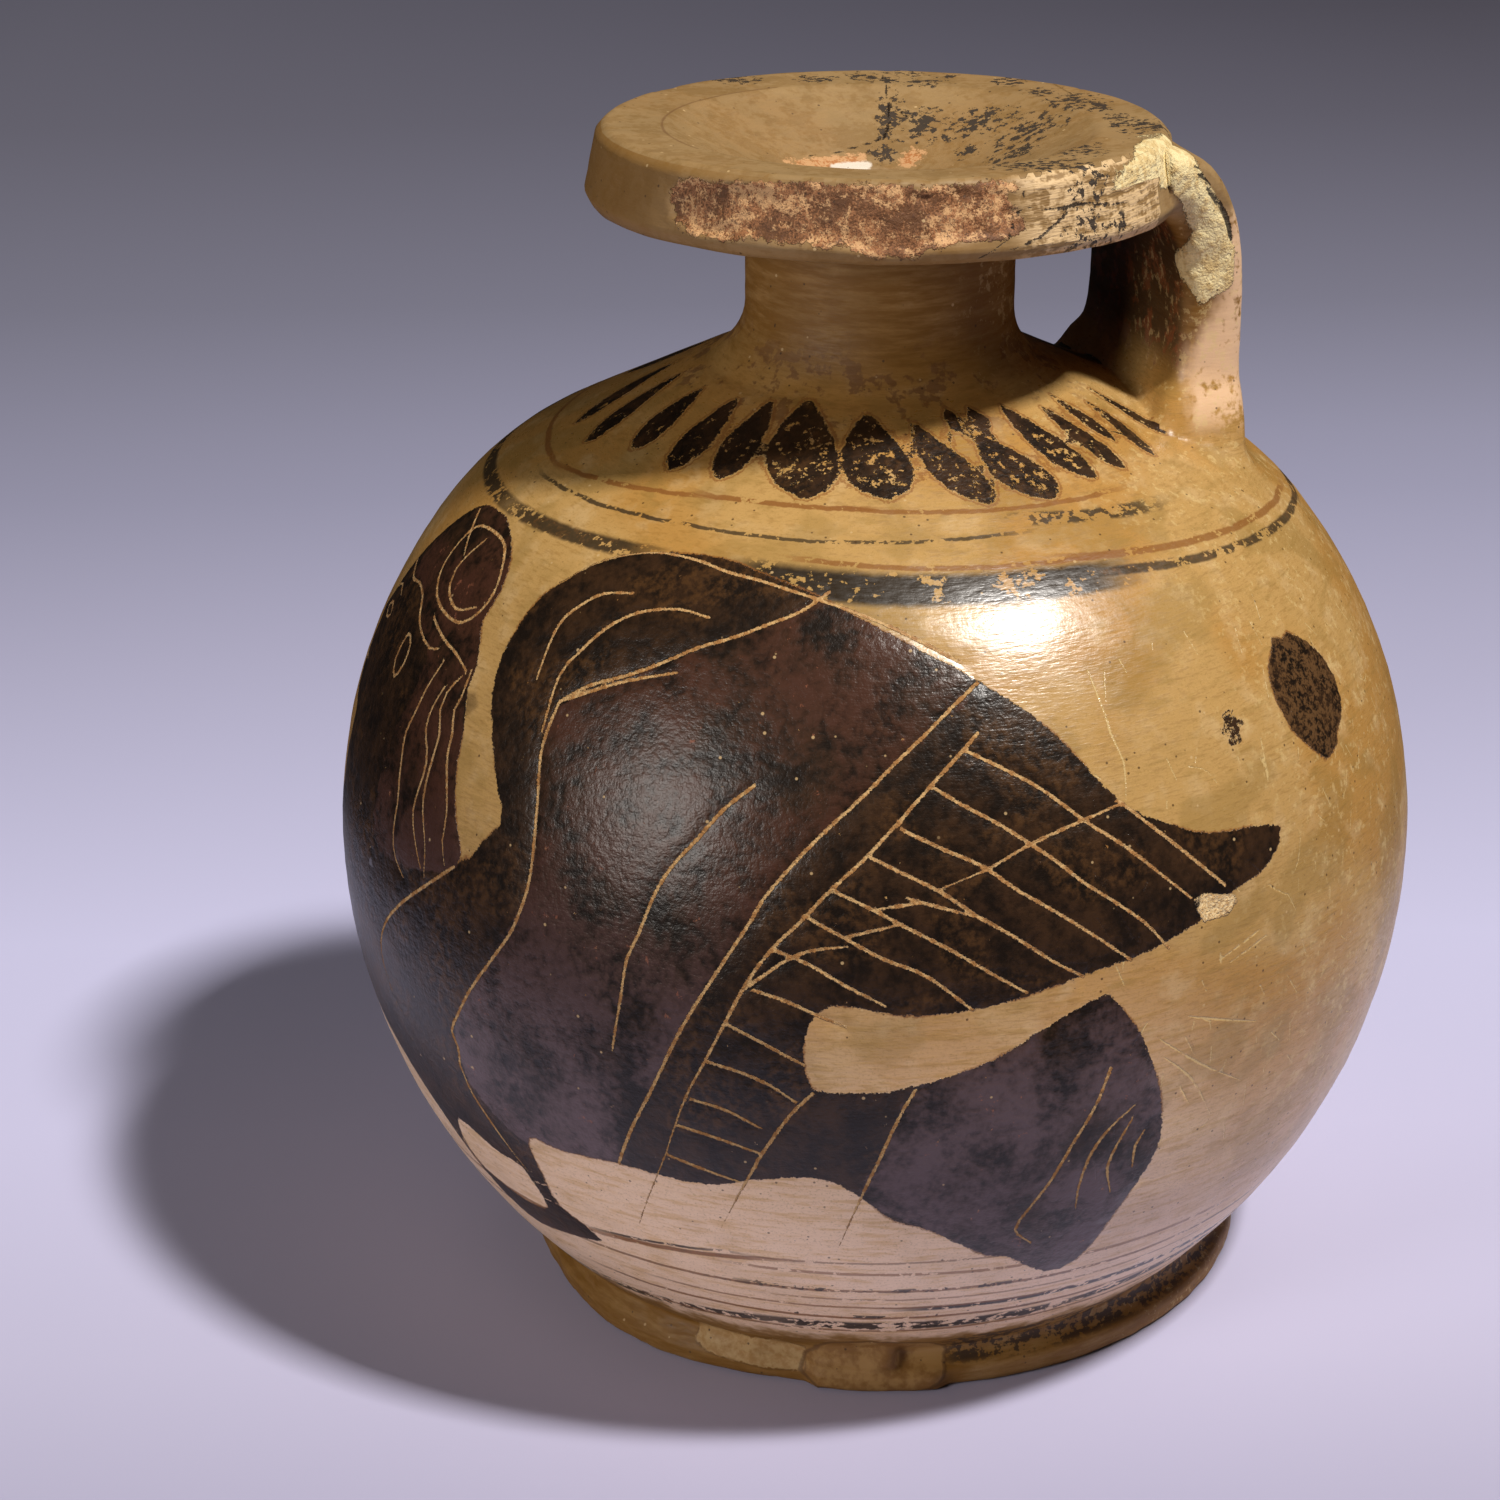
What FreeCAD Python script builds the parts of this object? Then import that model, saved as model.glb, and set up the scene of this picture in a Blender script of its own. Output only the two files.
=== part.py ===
import FreeCAD, Part
import math
import os
import Sketcher

# Footed round aryballos: a wheel-thrown oil flask with a plate mouth and one strap handle.
# Frame: +Z up, z = 0 on the foot's resting face, origin on the axis of the round body.
# The handle stands on the +X side.  All lengths are millimetres, all angles degrees.

SIZES = (
    # name, value, what it is
    ("belly_radius", 52.0, "outside radius of the body at its widest"),
    ("belly_height", 44.5, "height of the widest ring above the table"),
    ("lower_curve", 56.0, "radius of the outline's arc below the widest ring"),
    ("upper_curve", 50.0, "radius of the outline's arc above the widest ring"),
    ("shoulder_start", 39.0, "angle above level where the upper arc turns into the shoulder"),
    ("shoulder_curve", 25.0, "radius of the turn from the body into the shoulder"),
    ("shoulder_slope", 26.0, "slope of the shoulder's cone from level"),
    ("wall", 5.0, "thickness of the thrown wall"),
    ("underside_height", 3.0, "height of the recessed underside inside the foot ring"),
    ("floor_thickness", 5.5, "thickness of the floor"),
    ("neck_radius", 12.5, "outside radius of the neck"),
    ("neck_offset", 0.4, "how far the neck sits off the axis, towards the handle"),
    ("neck_length", 13.3, "length of the neck up to the plate's underside"),
    ("neck_root_fillet", 6.0, "concave blend from shoulder to neck"),
    ("mouth_azimuth", 54.0, "direction in which the mouth plate tips"),
    ("mouth_tilt", 2.3, "how far the mouth plate tips"),
    ("plate_radius", 27.5, "radius of the mouth plate at its lower edge"),
    ("plate_taper", 1.4, "how much smaller the plate is at its upper edge"),
    ("plate_thickness", 7.0, "height of the plate's edge band"),
    ("plate_fillet", 2.5, "blend from the neck to the plate's underside"),
    ("plate_edge", 0.8, "bevel of the plate's two outer edges"),
    ("rim_width", 7.0, "width of the plate's nearly level rim"),
    ("rim_fall", 0.4, "how far the rim falls towards the dish"),
    ("dish_depth", 5.6, "depth of the dish at the mouth hole"),
    ("bore_radius", 6.5, "radius of the mouth hole and neck bore"),
    ("bore_lip", 1.2, "rounding of the mouth hole's edge"),
    ("foot_radius", 36.0, "radius of the foot ring at the table"),
    ("foot_inner_radius", 29.0, "inside radius of the foot ring"),
    ("foot_offset", 1.3, "how far the foot ring sits off the axis, towards the handle"),
    ("foot_lip_height", 2.0, "height of the foot's upright lip"),
    ("foot_height", 6.3, "height of the foot ring up to the body"),
    ("seat_depth", 1.0, "how far the body sits into the foot ring"),
    ("foot_shrink", 0.5, "how much smaller the foot is at the top of its cove"),
    ("foot_cove", 2.5, "radius of the hollow moulding of the foot"),
    ("foot_edge", 0.5, "bevel of the foot's lip, above and below"),
    ("handle_reach", 32.0, "outside of the strap handle from the axis"),
    ("handle_thickness", 6.3, "thickness of the strap"),
    ("handle_width", 25.0, "width of the strap"),
    ("handle_round", 1.9, "rounding of the strap's long edges"),
    ("handle_bend", 9.5, "how far the strap's bend runs in under the plate"),
    ("handle_arch", 14.0, "height of the strap's bend"),
    ("handle_drop", 0.9, "depth of the strap's top below the plate's top"),
    ("handle_end_flare", 3.0, "how much wider the strap is on each side where it meets the plate"),
    ("root_flare", 4.0, "how much wider the strap is on each side where it meets the body"),
    ("root_inset", 6.0, "how much further in the strap reaches where it meets the body"),
    ("root_rise", 11.0, "height over which the strap's root spreads"),
    ("root_burial", 3.0, "depth of the strap's root below the shoulder"),
    ("spall_azimuth", -117.0, "middle of the stretch where the plate's band has flaked off"),
    ("spall_span", 72.0, "angle of the flaked stretch"),
    ("spall_depth", 0.6, "depth of the flaked stretch"),
    ("spall_height", 4.6, "height of the flaked stretch"),
    ("fill_azimuth", -122.0, "middle of the old fill in the foot's hollow moulding"),
    ("fill_span", 46.0, "angle of the old fill"),
    ("fill_relief", 0.2, "how far the old fill stands behind the foot's lip"),
)

NODE = "aryballos"
# Numbers by which a sketch knows its two axes and the points of an edge.
H_AXIS, V_AXIS = range(-1, -3, -1)
START, END, CENTRE = range(1, 4)
ORIGIN = (H_AXIS, START)
UP = FreeCAD.Vector(0, 0, 1)
SAME = 1e-6

# Height at which the shoulder's cone, carried on inwards, meets the neck.
TURN_ACROSS = ("(Sizes.belly_radius - Sizes.upper_curve"
               " + (Sizes.upper_curve - Sizes.shoulder_curve) * cos(Sizes.shoulder_start))")
TURN_UP = ("(Sizes.belly_height"
           " + (Sizes.upper_curve - Sizes.shoulder_curve) * sin(Sizes.shoulder_start))")
NECK_ROOT = (f"({TURN_UP} + Sizes.shoulder_curve * cos(Sizes.shoulder_slope)"
             f" + ({TURN_ACROSS} + Sizes.shoulder_curve * sin(Sizes.shoulder_slope)"
             " - Sizes.neck_radius) * tan(Sizes.shoulder_slope))")
# Shares of the strap's spread at the foot of its root and at two heights above.
ROOT_SHARES = (1.0, 0.35, 0.06)
BEND_ANGLES = (30, 60, 90)

doc = FreeCAD.newDocument("aryballos")
size = {name: value for name, value, meaning in SIZES}


def fill_sheet():
    """Put every driving size in the spreadsheet, one row each."""
    sheet = doc.addObject("Spreadsheet::Sheet", "Sizes")
    for row, (name, value, meaning) in enumerate(SIZES, start=1):
        sheet.set(f"A{row}", name)
        sheet.set(f"B{row}", str(value))
        sheet.set(f"C{row}", meaning)
        sheet.setAlias(f"B{row}", name)
    doc.recompute()
    return sheet


def origin_plane(body, role):
    """The body's own origin plane with that role."""
    return next(item for item in body.Origin.OriginFeatures if item.Role == role)


def new_sketch(body, name, support):
    """An empty sketch lying flat on a plane of the body."""
    sketch = body.newObject("Sketcher::SketchObject", name)
    sketch.AttachmentSupport = [(support, "")]
    sketch.MapMode = "FlatFace"
    return sketch


def turned_plane(body, name, azimuth):
    """An upright datum plane through the foot of the neck, turned to an azimuth."""
    plane = body.newObject("PartDesign::Plane", name)
    plane.AttachmentSupport = [(origin_plane(body, "XZ_Plane"), "")]
    plane.MapMode = "FlatFace"
    plane.AttachmentOffset = FreeCAD.Placement(
        FreeCAD.Vector(0, 0, 0), FreeCAD.Rotation(FreeCAD.Vector(0, 1, 0), 1.0))
    plane.setExpression(".AttachmentOffset.Rotation.Angle", azimuth)
    plane.setExpression(".AttachmentOffset.Base.x", "Sizes.neck_offset")
    plane.setExpression(".AttachmentOffset.Base.y", NECK_ROOT)
    doc.recompute()
    return plane


def line(sketch, start, end):
    """A straight edge between two (radius, height) points."""
    return sketch.addGeometry(Part.LineSegment(
        FreeCAD.Vector(start[0], start[1], 0), FreeCAD.Vector(end[0], end[1], 0)), False)


def arc(sketch, centre, start, end):
    """The arc about a centre, counter-clockwise from start to end."""
    radius = math.dist(centre, start)
    first = math.atan2(start[1] - centre[1], start[0] - centre[0])
    last = math.atan2(end[1] - centre[1], end[0] - centre[0])
    circle = Part.Circle(FreeCAD.Vector(centre[0], centre[1], 0), UP, radius)
    return sketch.addGeometry(Part.ArcOfCircle(circle, first, last), False)


def join(sketch, *ends):
    """Make edge ends coincide, given as (edge, end) pairs two by two."""
    for first, second in zip(ends[::2], ends[1::2]):
        sketch.addConstraint(Sketcher.Constraint("Coincident", *first, *second))


def bind(sketch, kind, items, expression, value):
    """Add a driving dimension and tie it to the spreadsheet."""
    number = sketch.addConstraint(Sketcher.Constraint(kind, *items, value))
    sketch.setExpression(f"Constraints[{number}]", expression)


def bind_point(sketch, item, across=None, up=None):
    """Tie a point's two distances from the sketch's origin, each (expression, value)."""
    if across:
        bind(sketch, "DistanceX", (*ORIGIN, *item), *across)
    if up:
        bind(sketch, "DistanceY", (*ORIGIN, *item), *up)


def on_axis(sketch, item):
    """Hold a point on the turning axis."""
    sketch.addConstraint(Sketcher.Constraint("PointOnObject", *item, V_AXIS))


def level(sketch, edge):
    sketch.addConstraint(Sketcher.Constraint("Horizontal", edge))


def upright(sketch, edge):
    sketch.addConstraint(Sketcher.Constraint("Vertical", edge))


def turn_about_axis(body, name, sketch, kind="PartDesign::Revolution", angle=None):
    """Revolve (or groove) a sketch about its own upright axis, all round or half to each side."""
    feature = body.newObject(kind, name)
    feature.Profile = sketch
    feature.ReferenceAxis = (sketch, ["V_Axis"])
    if angle:
        feature.Midplane = True
        feature.setExpression("Angle", angle)
    sketch.Visibility = False
    doc.recompute()


def fillet(body, name, edges, radius):
    """Round the named edges of the body so far by a sheet size."""
    base = body.Tip
    feature = body.newObject("PartDesign::Fillet", name)
    feature.Base = (base, edges)
    feature.setExpression("Radius", f"Sizes.{radius}")
    doc.recompute()


def wall_edges(shape, radius, kind, above):
    """Names of the edges where the round wall of that radius meets a face of a kind.

    Only edges that lie above a height count.
    """
    names = []
    for number, edge in enumerate(shape.Edges, start=1):
        surfaces = [face.Surface for face in shape.ancestorsOfType(edge, Part.Face)]
        walls = [item for item in surfaces
                 if isinstance(item, Part.Cylinder) and abs(item.Radius - radius) < SAME]
        others = [item for item in surfaces if isinstance(item, kind)]
        if walls and others and edge.BoundBox.ZMin > above:
            names.append(f"Edge{number}")
    return names


def closed_outline(sketch, points):
    """A closed outline of straight edges through points, each (across, up).

    Across and up are (expression, value); across is None for a point on the axis.
    """
    values = [(across[1] if across else 0.0, up[1]) for across, up in points]
    count = len(points)
    edges = [line(sketch, values[i], values[(i + 1) % count]) for i in range(count)]
    for i, (across, up) in enumerate(points):
        join(sketch, (edges[i], END), (edges[(i + 1) % count], START))
        if across is None:
            on_axis(sketch, (edges[i], START))
        bind_point(sketch, (edges[i], START), across, up)


def vessel_outline(sketch, inset, floor_height, top, seat=None):
    """The body's half outline, set in by a thickness, closed along the axis.

    Two arcs of different radius meet at the widest ring, a third turns into the
    cone of the shoulder, and the cone runs in to the radius top.  With a seat,
    (radius, height), the lowest arc ends at the seat's height and the outline
    slants in under it.  Each of these sizes is (expression, value).
    """
    foot_expr, foot_z = floor_height
    top_expr, top_radius = top
    thick = f"Sizes.{inset}" if inset else "0"
    t = size[inset] if inset else 0.0
    belly_z = size["belly_height"]
    lower = (size["belly_radius"] - size["lower_curve"], belly_z)
    upper = (size["belly_radius"] - size["upper_curve"], belly_z)
    lower_r = size["lower_curve"] - t
    turn_r = size["shoulder_curve"] - t
    start_turn = (turn_across + turn_r * start_cos, turn_up + turn_r * start_sin)
    end_turn = (turn_across + turn_r * slope_sin, turn_up + turn_r * slope_cos)
    top_z = end_turn[1] + (end_turn[0] - top_radius) * slope_tan
    low_z = seat[1][1] if seat else foot_z
    low = (lower[0] + math.sqrt(lower_r ** 2 - (belly_z - low_z) ** 2), low_z)
    wide = (size["belly_radius"] - t, belly_z)

    if seat:
        floor = line(sketch, (0, foot_z), (seat[0][1], foot_z))
        last = line(sketch, (seat[0][1], foot_z), low)
        join(sketch, (floor, END), (last, START))
        bind_point(sketch, (last, START), across=seat[0])
        bind_point(sketch, (last, END), up=seat[1])
    else:
        floor = line(sketch, (0, foot_z), low)
        last = floor
    under = arc(sketch, lower, low, wide)
    over = arc(sketch, upper, wide, start_turn)
    bend = arc(sketch, (turn_across, turn_up), start_turn, end_turn)
    cone = line(sketch, end_turn, (top_radius, top_z))
    lid = line(sketch, (top_radius, top_z), (0, top_z))
    axis = line(sketch, (0, top_z), (0, foot_z))

    join(sketch, (last, END), (under, START), (under, END), (over, START))
    join(sketch, (cone, END), (lid, START), (lid, END), (axis, START), (axis, END), (floor, START))
    sketch.addConstraint(Sketcher.Constraint("Tangent", over, END, bend, START))
    sketch.addConstraint(Sketcher.Constraint("Tangent", bend, END, cone, START))
    level(sketch, floor)
    level(sketch, lid)
    on_axis(sketch, (floor, START))
    on_axis(sketch, (lid, END))
    bind_point(sketch, (floor, START), up=(foot_expr, foot_z))
    bind_point(sketch, (under, CENTRE), ("Sizes.belly_radius - Sizes.lower_curve", lower[0]),
               ("Sizes.belly_height", belly_z))
    bind_point(sketch, (over, CENTRE), ("Sizes.belly_radius - Sizes.upper_curve", upper[0]),
               ("Sizes.belly_height", belly_z))
    bind_point(sketch, (under, END), up=("Sizes.belly_height", belly_z))
    bind_point(sketch, (bend, CENTRE), up=(TURN_UP, turn_up))
    bind(sketch, "Radius", (under,), f"Sizes.lower_curve - {thick}", lower_r)
    bind(sketch, "Radius", (bend,), f"Sizes.shoulder_curve - {thick}", turn_r)
    bind(sketch, "Angle", (cone,), "180 - Sizes.shoulder_slope", math.pi - slope)
    bind_point(sketch, (cone, END), across=(top_expr, top_radius))


def add_body(body):
    """The thrown body, still solid."""
    sketch = new_sketch(body, "BodyOutline", origin_plane(body, "XZ_Plane"))
    vessel_outline(
        sketch, None,
        floor_height=("Sizes.underside_height", size["underside_height"]),
        top=("Sizes.neck_radius - Sizes.wall / 2", size["neck_radius"] - size["wall"] / 2),
        seat=(("Sizes.foot_inner_radius", size["foot_inner_radius"]),
              ("Sizes.foot_height - Sizes.seat_depth", size["foot_height"] - size["seat_depth"])))
    turn_about_axis(body, "ThrownBody", sketch)


def foot_sketch(body, name, azimuth):
    """A sketch whose upright axis is the foot ring's own axis, turned to an azimuth."""
    centre = body.newObject("PartDesign::Plane", name + "Plane")
    centre.AttachmentSupport = [(origin_plane(body, "XZ_Plane"), "")]
    centre.MapMode = "FlatFace"
    centre.setExpression(".AttachmentOffset.Base.x", "Sizes.foot_offset")
    sketch = new_sketch(body, name, centre)
    sketch.AttachmentOffset = FreeCAD.Placement(
        FreeCAD.Vector(0, 0, 0), FreeCAD.Rotation(FreeCAD.Vector(0, 1, 0), 1.0))
    sketch.setExpression(".AttachmentOffset.Rotation.Angle", azimuth)
    doc.recompute()
    return sketch


def add_foot(body):
    """The foot ring: bevelled upright lip, hollow moulding, flat resting face."""
    sketch = foot_sketch(body, "FootOutline", "0")
    inner, outer, edge = size["foot_inner_radius"], size["foot_radius"], size["foot_edge"]
    lip, top = size["foot_lip_height"], size["foot_height"]
    narrow = outer - size["foot_shrink"]
    ledge = outer - edge
    chord = math.dist((ledge, lip), (narrow, top))
    away = math.sqrt(size["foot_cove"] ** 2 - (chord / 2) ** 2)
    tilt = math.atan2(top - lip, narrow - ledge) - math.pi / 2
    centre = ((ledge + narrow) / 2 + away * math.cos(tilt),
              (lip + top) / 2 + away * math.sin(tilt))
    base = line(sketch, (inner, 0), (ledge, 0))
    under = line(sketch, (ledge, 0), (outer, edge))
    side = line(sketch, (outer, edge), (outer, lip - edge))
    over = line(sketch, (outer, lip - edge), (ledge, lip))
    cove = arc(sketch, centre, (narrow, top), (ledge, lip))
    crown = line(sketch, (narrow, top), (inner, top))
    inside = line(sketch, (inner, top), (inner, 0))
    join(sketch, (base, END), (under, START), (under, END), (side, START),
         (side, END), (over, START), (over, END), (cove, END),
         (cove, START), (crown, START), (crown, END), (inside, START), (inside, END), (base, START))
    level(sketch, crown)
    upright(sketch, side)
    upright(sketch, inside)
    sketch.addConstraint(Sketcher.Constraint("PointOnObject", base, START, H_AXIS))
    sketch.addConstraint(Sketcher.Constraint("PointOnObject", base, END, H_AXIS))
    bind_point(sketch, (base, START), ("Sizes.foot_inner_radius", inner))
    bind_point(sketch, (base, END), ("Sizes.foot_radius - Sizes.foot_edge", ledge))
    bind_point(sketch, (side, START), ("Sizes.foot_radius", outer), ("Sizes.foot_edge", edge))
    bind_point(sketch, (side, END), up=("Sizes.foot_lip_height - Sizes.foot_edge", lip - edge))
    bind_point(sketch, (over, END), ("Sizes.foot_radius - Sizes.foot_edge", ledge),
               ("Sizes.foot_lip_height", lip))
    bind_point(sketch, (cove, START), ("Sizes.foot_radius - Sizes.foot_shrink", narrow),
               ("Sizes.foot_height", top))
    bind(sketch, "Radius", (cove,), "Sizes.foot_cove", size["foot_cove"])
    turn_about_axis(body, "FootRing", sketch)


def add_foot_fill(body):
    """The old fill that levels the foot's hollow moulding over one stretch."""
    sketch = foot_sketch(body, "FootFillOutline", "Sizes.fill_azimuth")
    inner = ("Sizes.foot_radius - Sizes.foot_cove", size["foot_radius"] - size["foot_cove"])
    outer = ("Sizes.foot_radius - Sizes.fill_relief", size["foot_radius"] - size["fill_relief"])
    low = ("Sizes.foot_lip_height / 2", size["foot_lip_height"] / 2)
    top = ("Sizes.foot_height - Sizes.foot_edge", size["foot_height"] - size["foot_edge"])
    closed_outline(sketch, ((inner, low), (outer, low), (outer, top), (inner, top)))
    turn_about_axis(body, "FootFill", sketch, angle="Sizes.fill_span")


def mouth_sketch(body, name):
    """A sketch whose upright axis is the tipped axis of neck and mouth plate."""
    plane = turned_plane(body, name + "Plane", "Sizes.mouth_azimuth")
    sketch = new_sketch(body, name, plane)
    sketch.AttachmentOffset = FreeCAD.Placement(
        FreeCAD.Vector(0, 0, 0), FreeCAD.Rotation(FreeCAD.Vector(0, 0, 1), -1.0))
    sketch.setExpression(".AttachmentOffset.Rotation.Angle", "-Sizes.mouth_tilt")
    doc.recompute()
    return sketch


def add_mouth(body):
    """Neck and mouth plate, thrown as one and set on the shoulder."""
    sketch = mouth_sketch(body, "MouthOutline")
    neck, plate, edge = size["neck_radius"], size["plate_radius"], size["plate_edge"]
    under = size["neck_length"]
    top = under + size["plate_thickness"]
    upper = plate - size["plate_taper"]
    rim = upper - size["rim_width"]
    dish = top - size["dish_depth"]
    upper_expr = "Sizes.plate_radius - Sizes.plate_taper"
    top_expr = "Sizes.neck_length + Sizes.plate_thickness"
    closed_outline(sketch, (
        (None, ("-Sizes.wall", -size["wall"])),
        (("Sizes.neck_radius", neck), ("-Sizes.wall", -size["wall"])),
        (("Sizes.neck_radius", neck), ("Sizes.neck_length", under)),
        (("Sizes.plate_radius - Sizes.plate_edge", plate - edge), ("Sizes.neck_length", under)),
        (("Sizes.plate_radius", plate), ("Sizes.neck_length + Sizes.plate_edge", under + edge)),
        ((upper_expr, upper), (f"{top_expr} - Sizes.plate_edge", top - edge)),
        ((f"{upper_expr} - Sizes.plate_edge", upper - edge), (top_expr, top)),
        ((f"{upper_expr} - Sizes.rim_width", rim), (f"{top_expr} - Sizes.rim_fall",
                                                    top - size["rim_fall"])),
        (("Sizes.bore_radius", size["bore_radius"]), (f"{top_expr} - Sizes.dish_depth", dish)),
        (None, (f"{top_expr} - Sizes.dish_depth", dish)),
    ))
    turn_about_axis(body, "NeckAndPlate", sketch)
    halfway = neck_root + under / 2
    plate_root = wall_edges(body.Tip.Shape, neck, Part.Plane, halfway)
    fillet(body, "PlateRootBlend", plate_root, "plate_fillet")
    neck_foot = wall_edges(body.Tip.Shape, neck, Part.Cone, size["belly_height"])
    fillet(body, "NeckRootBlend", neck_foot, "neck_root_fillet")


def strap_section(body, name, place, turn, thickness, width):
    """One rounded rectangle across the strap: its place, turn, thickness and width."""
    sketch = new_sketch(body, name, origin_plane(body, "XY_Plane"))
    sketch.AttachmentOffset = FreeCAD.Placement(
        FreeCAD.Vector(0, 0, 0), FreeCAD.Rotation(FreeCAD.Vector(0, -1, 0), 1.0))
    sketch.setExpression(".AttachmentOffset.Rotation.Angle", turn)
    sketch.setExpression(".AttachmentOffset.Base.x", place[0])
    sketch.setExpression(".AttachmentOffset.Base.z", place[1])
    half_t, half_w = thickness[1] / 2, width[1] / 2
    r = size["handle_round"]
    sides = (
        line(sketch, (-half_t + r, -half_w), (half_t - r, -half_w)),
        line(sketch, (half_t, -half_w + r), (half_t, half_w - r)),
        line(sketch, (half_t - r, half_w), (-half_t + r, half_w)),
        line(sketch, (-half_t, half_w - r), (-half_t, -half_w + r)),
    )
    corners = (
        arc(sketch, (half_t - r, -half_w + r), (half_t - r, -half_w), (half_t, -half_w + r)),
        arc(sketch, (half_t - r, half_w - r), (half_t, half_w - r), (half_t - r, half_w)),
        arc(sketch, (-half_t + r, half_w - r), (-half_t + r, half_w), (-half_t, half_w - r)),
        arc(sketch, (-half_t + r, -half_w + r), (-half_t, -half_w + r), (-half_t + r, -half_w)),
    )
    for i in range(4):
        sketch.addConstraint(Sketcher.Constraint("Tangent", sides[i], END, corners[i], START))
        sketch.addConstraint(
            Sketcher.Constraint("Tangent", corners[i], END, sides[(i + 1) % 4], START))
    level(sketch, sides[0])
    level(sketch, sides[2])
    upright(sketch, sides[1])
    upright(sketch, sides[3])
    for i in range(1, 4):
        sketch.addConstraint(Sketcher.Constraint("Equal", corners[0], corners[i]))
    bind(sketch, "Radius", (corners[0],), "Sizes.handle_round", r)
    bind_point(sketch, (sides[1], START), across=(f"({thickness[0]}) / 2", half_t))
    bind_point(sketch, (sides[3], START), across=(f"-({thickness[0]}) / 2", -half_t))
    bind_point(sketch, (sides[0], START), up=(f"-({width[0]}) / 2", -half_w))
    bind_point(sketch, (sides[2], START), up=(f"({width[0]}) / 2", half_w))
    sketch.Visibility = False
    return sketch


def add_handle(body):
    """The strap handle: up from the shoulder, over a bend, into the mouth plate."""
    thin, wide = size["handle_thickness"], size["handle_width"]
    centre_x = "Sizes.handle_reach - Sizes.handle_thickness / 2"
    shoulder = (f"{NECK_ROOT} - (Sizes.handle_reach - Sizes.neck_radius)"
                " * tan(Sizes.shoulder_slope)")
    bend_x = "Sizes.handle_reach - Sizes.handle_bend"
    bend_z = (f"{NECK_ROOT} + Sizes.neck_length + Sizes.plate_thickness"
              " - Sizes.handle_drop - Sizes.handle_arch")
    across = "(Sizes.handle_bend - Sizes.handle_thickness / 2)"
    high = "(Sizes.handle_arch - Sizes.handle_thickness / 2)"
    plain = (("Sizes.handle_thickness", thin), ("Sizes.handle_width", wide))
    sections = []

    # The root spreads inwards and to both sides, most at its foot.
    for number, share in enumerate(ROOT_SHARES):
        inset = f"Sizes.root_inset * {share}"
        height = f"{shoulder} - Sizes.root_burial + Sizes.root_rise * (1 - {share})"
        sections.append(strap_section(
            body, f"StrapRoot{number}", (f"{centre_x} - {inset} / 2", height), "0",
            (f"Sizes.handle_thickness + {inset}", thin + size["root_inset"] * share),
            (f"Sizes.handle_width + 2 * Sizes.root_flare * {share}",
             wide + 2 * size["root_flare"] * share)))
    sections.append(strap_section(body, "StrapUpright", (centre_x, bend_z), "0", *plain))

    # The bend is a quarter of an oval, and widens as it runs into the plate.
    for angle in BEND_ANGLES:
        share = 1 - math.cos(math.radians(angle))
        sections.append(strap_section(
            body, f"StrapBend{angle}",
            (f"{bend_x} + {across} * cos({angle})", f"{bend_z} + {high} * sin({angle})"),
            f"atan2({across} * sin({angle}); {high} * cos({angle}))",
            plain[0],
            (f"Sizes.handle_width + 2 * Sizes.handle_end_flare * (1 - cos({angle}))",
             wide + 2 * size["handle_end_flare"] * share)))
    doc.recompute()

    loft = body.newObject("PartDesign::AdditiveLoft", "StrapHandle")
    loft.Profile = sections[0]
    loft.Sections = sections[1:]
    doc.recompute()


def add_cavity(body):
    """Hollow the body, keeping the wall's thickness."""
    sketch = new_sketch(body, "CavityOutline", origin_plane(body, "XZ_Plane"))
    vessel_outline(
        sketch, "wall",
        floor_height=("Sizes.underside_height + Sizes.floor_thickness",
                      size["underside_height"] + size["floor_thickness"]),
        top=("Sizes.bore_radius", size["bore_radius"]))
    turn_about_axis(body, "Cavity", sketch, "PartDesign::Groove")


def add_bore(body):
    """The neck's bore, from the cavity up through the dish."""
    sketch = mouth_sketch(body, "BoreOutline")
    radius = ("Sizes.bore_radius", size["bore_radius"])
    low = ("-2 * Sizes.wall", -2 * size["wall"])
    high = ("Sizes.neck_length + Sizes.plate_thickness",
            size["neck_length"] + size["plate_thickness"])
    closed_outline(sketch, ((None, low), (radius, low), (radius, high), (None, high)))
    turn_about_axis(body, "Bore", sketch, "PartDesign::Groove")
    halfway = neck_root + size["neck_length"] / 2
    lip = wall_edges(body.Tip.Shape, size["bore_radius"], Part.Cone, halfway)
    fillet(body, "BoreLip", lip, "bore_lip")


def add_spall(body):
    """The shallow step where the plate's band has flaked off."""
    plane = turned_plane(body, "SpallPlane", "Sizes.spall_azimuth")
    sketch = new_sketch(body, "SpallOutline", plane)
    inner = size["plate_radius"] - size["spall_depth"]
    outer = ("Sizes.plate_radius + Sizes.wall", size["plate_radius"] + size["wall"])
    low = size["neck_length"] + (size["plate_thickness"] - size["spall_height"]) / 2
    high = low + size["spall_height"]
    slant = size["plate_taper"] * size["spall_height"] / size["plate_thickness"]
    inner_expr = "Sizes.plate_radius - Sizes.spall_depth"
    low_expr = "Sizes.neck_length + (Sizes.plate_thickness - Sizes.spall_height) / 2"
    high_expr = f"{low_expr} + Sizes.spall_height"
    slant_expr = "Sizes.plate_taper * Sizes.spall_height / Sizes.plate_thickness"
    closed_outline(sketch, (
        ((inner_expr, inner), (low_expr, low)),
        (outer, (low_expr, low)),
        (outer, (high_expr, high)),
        ((f"{inner_expr} - {slant_expr}", inner - slant), (high_expr, high)),
    ))
    turn_about_axis(body, "Spall", sketch, "PartDesign::Groove", "Sizes.spall_span")


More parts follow.
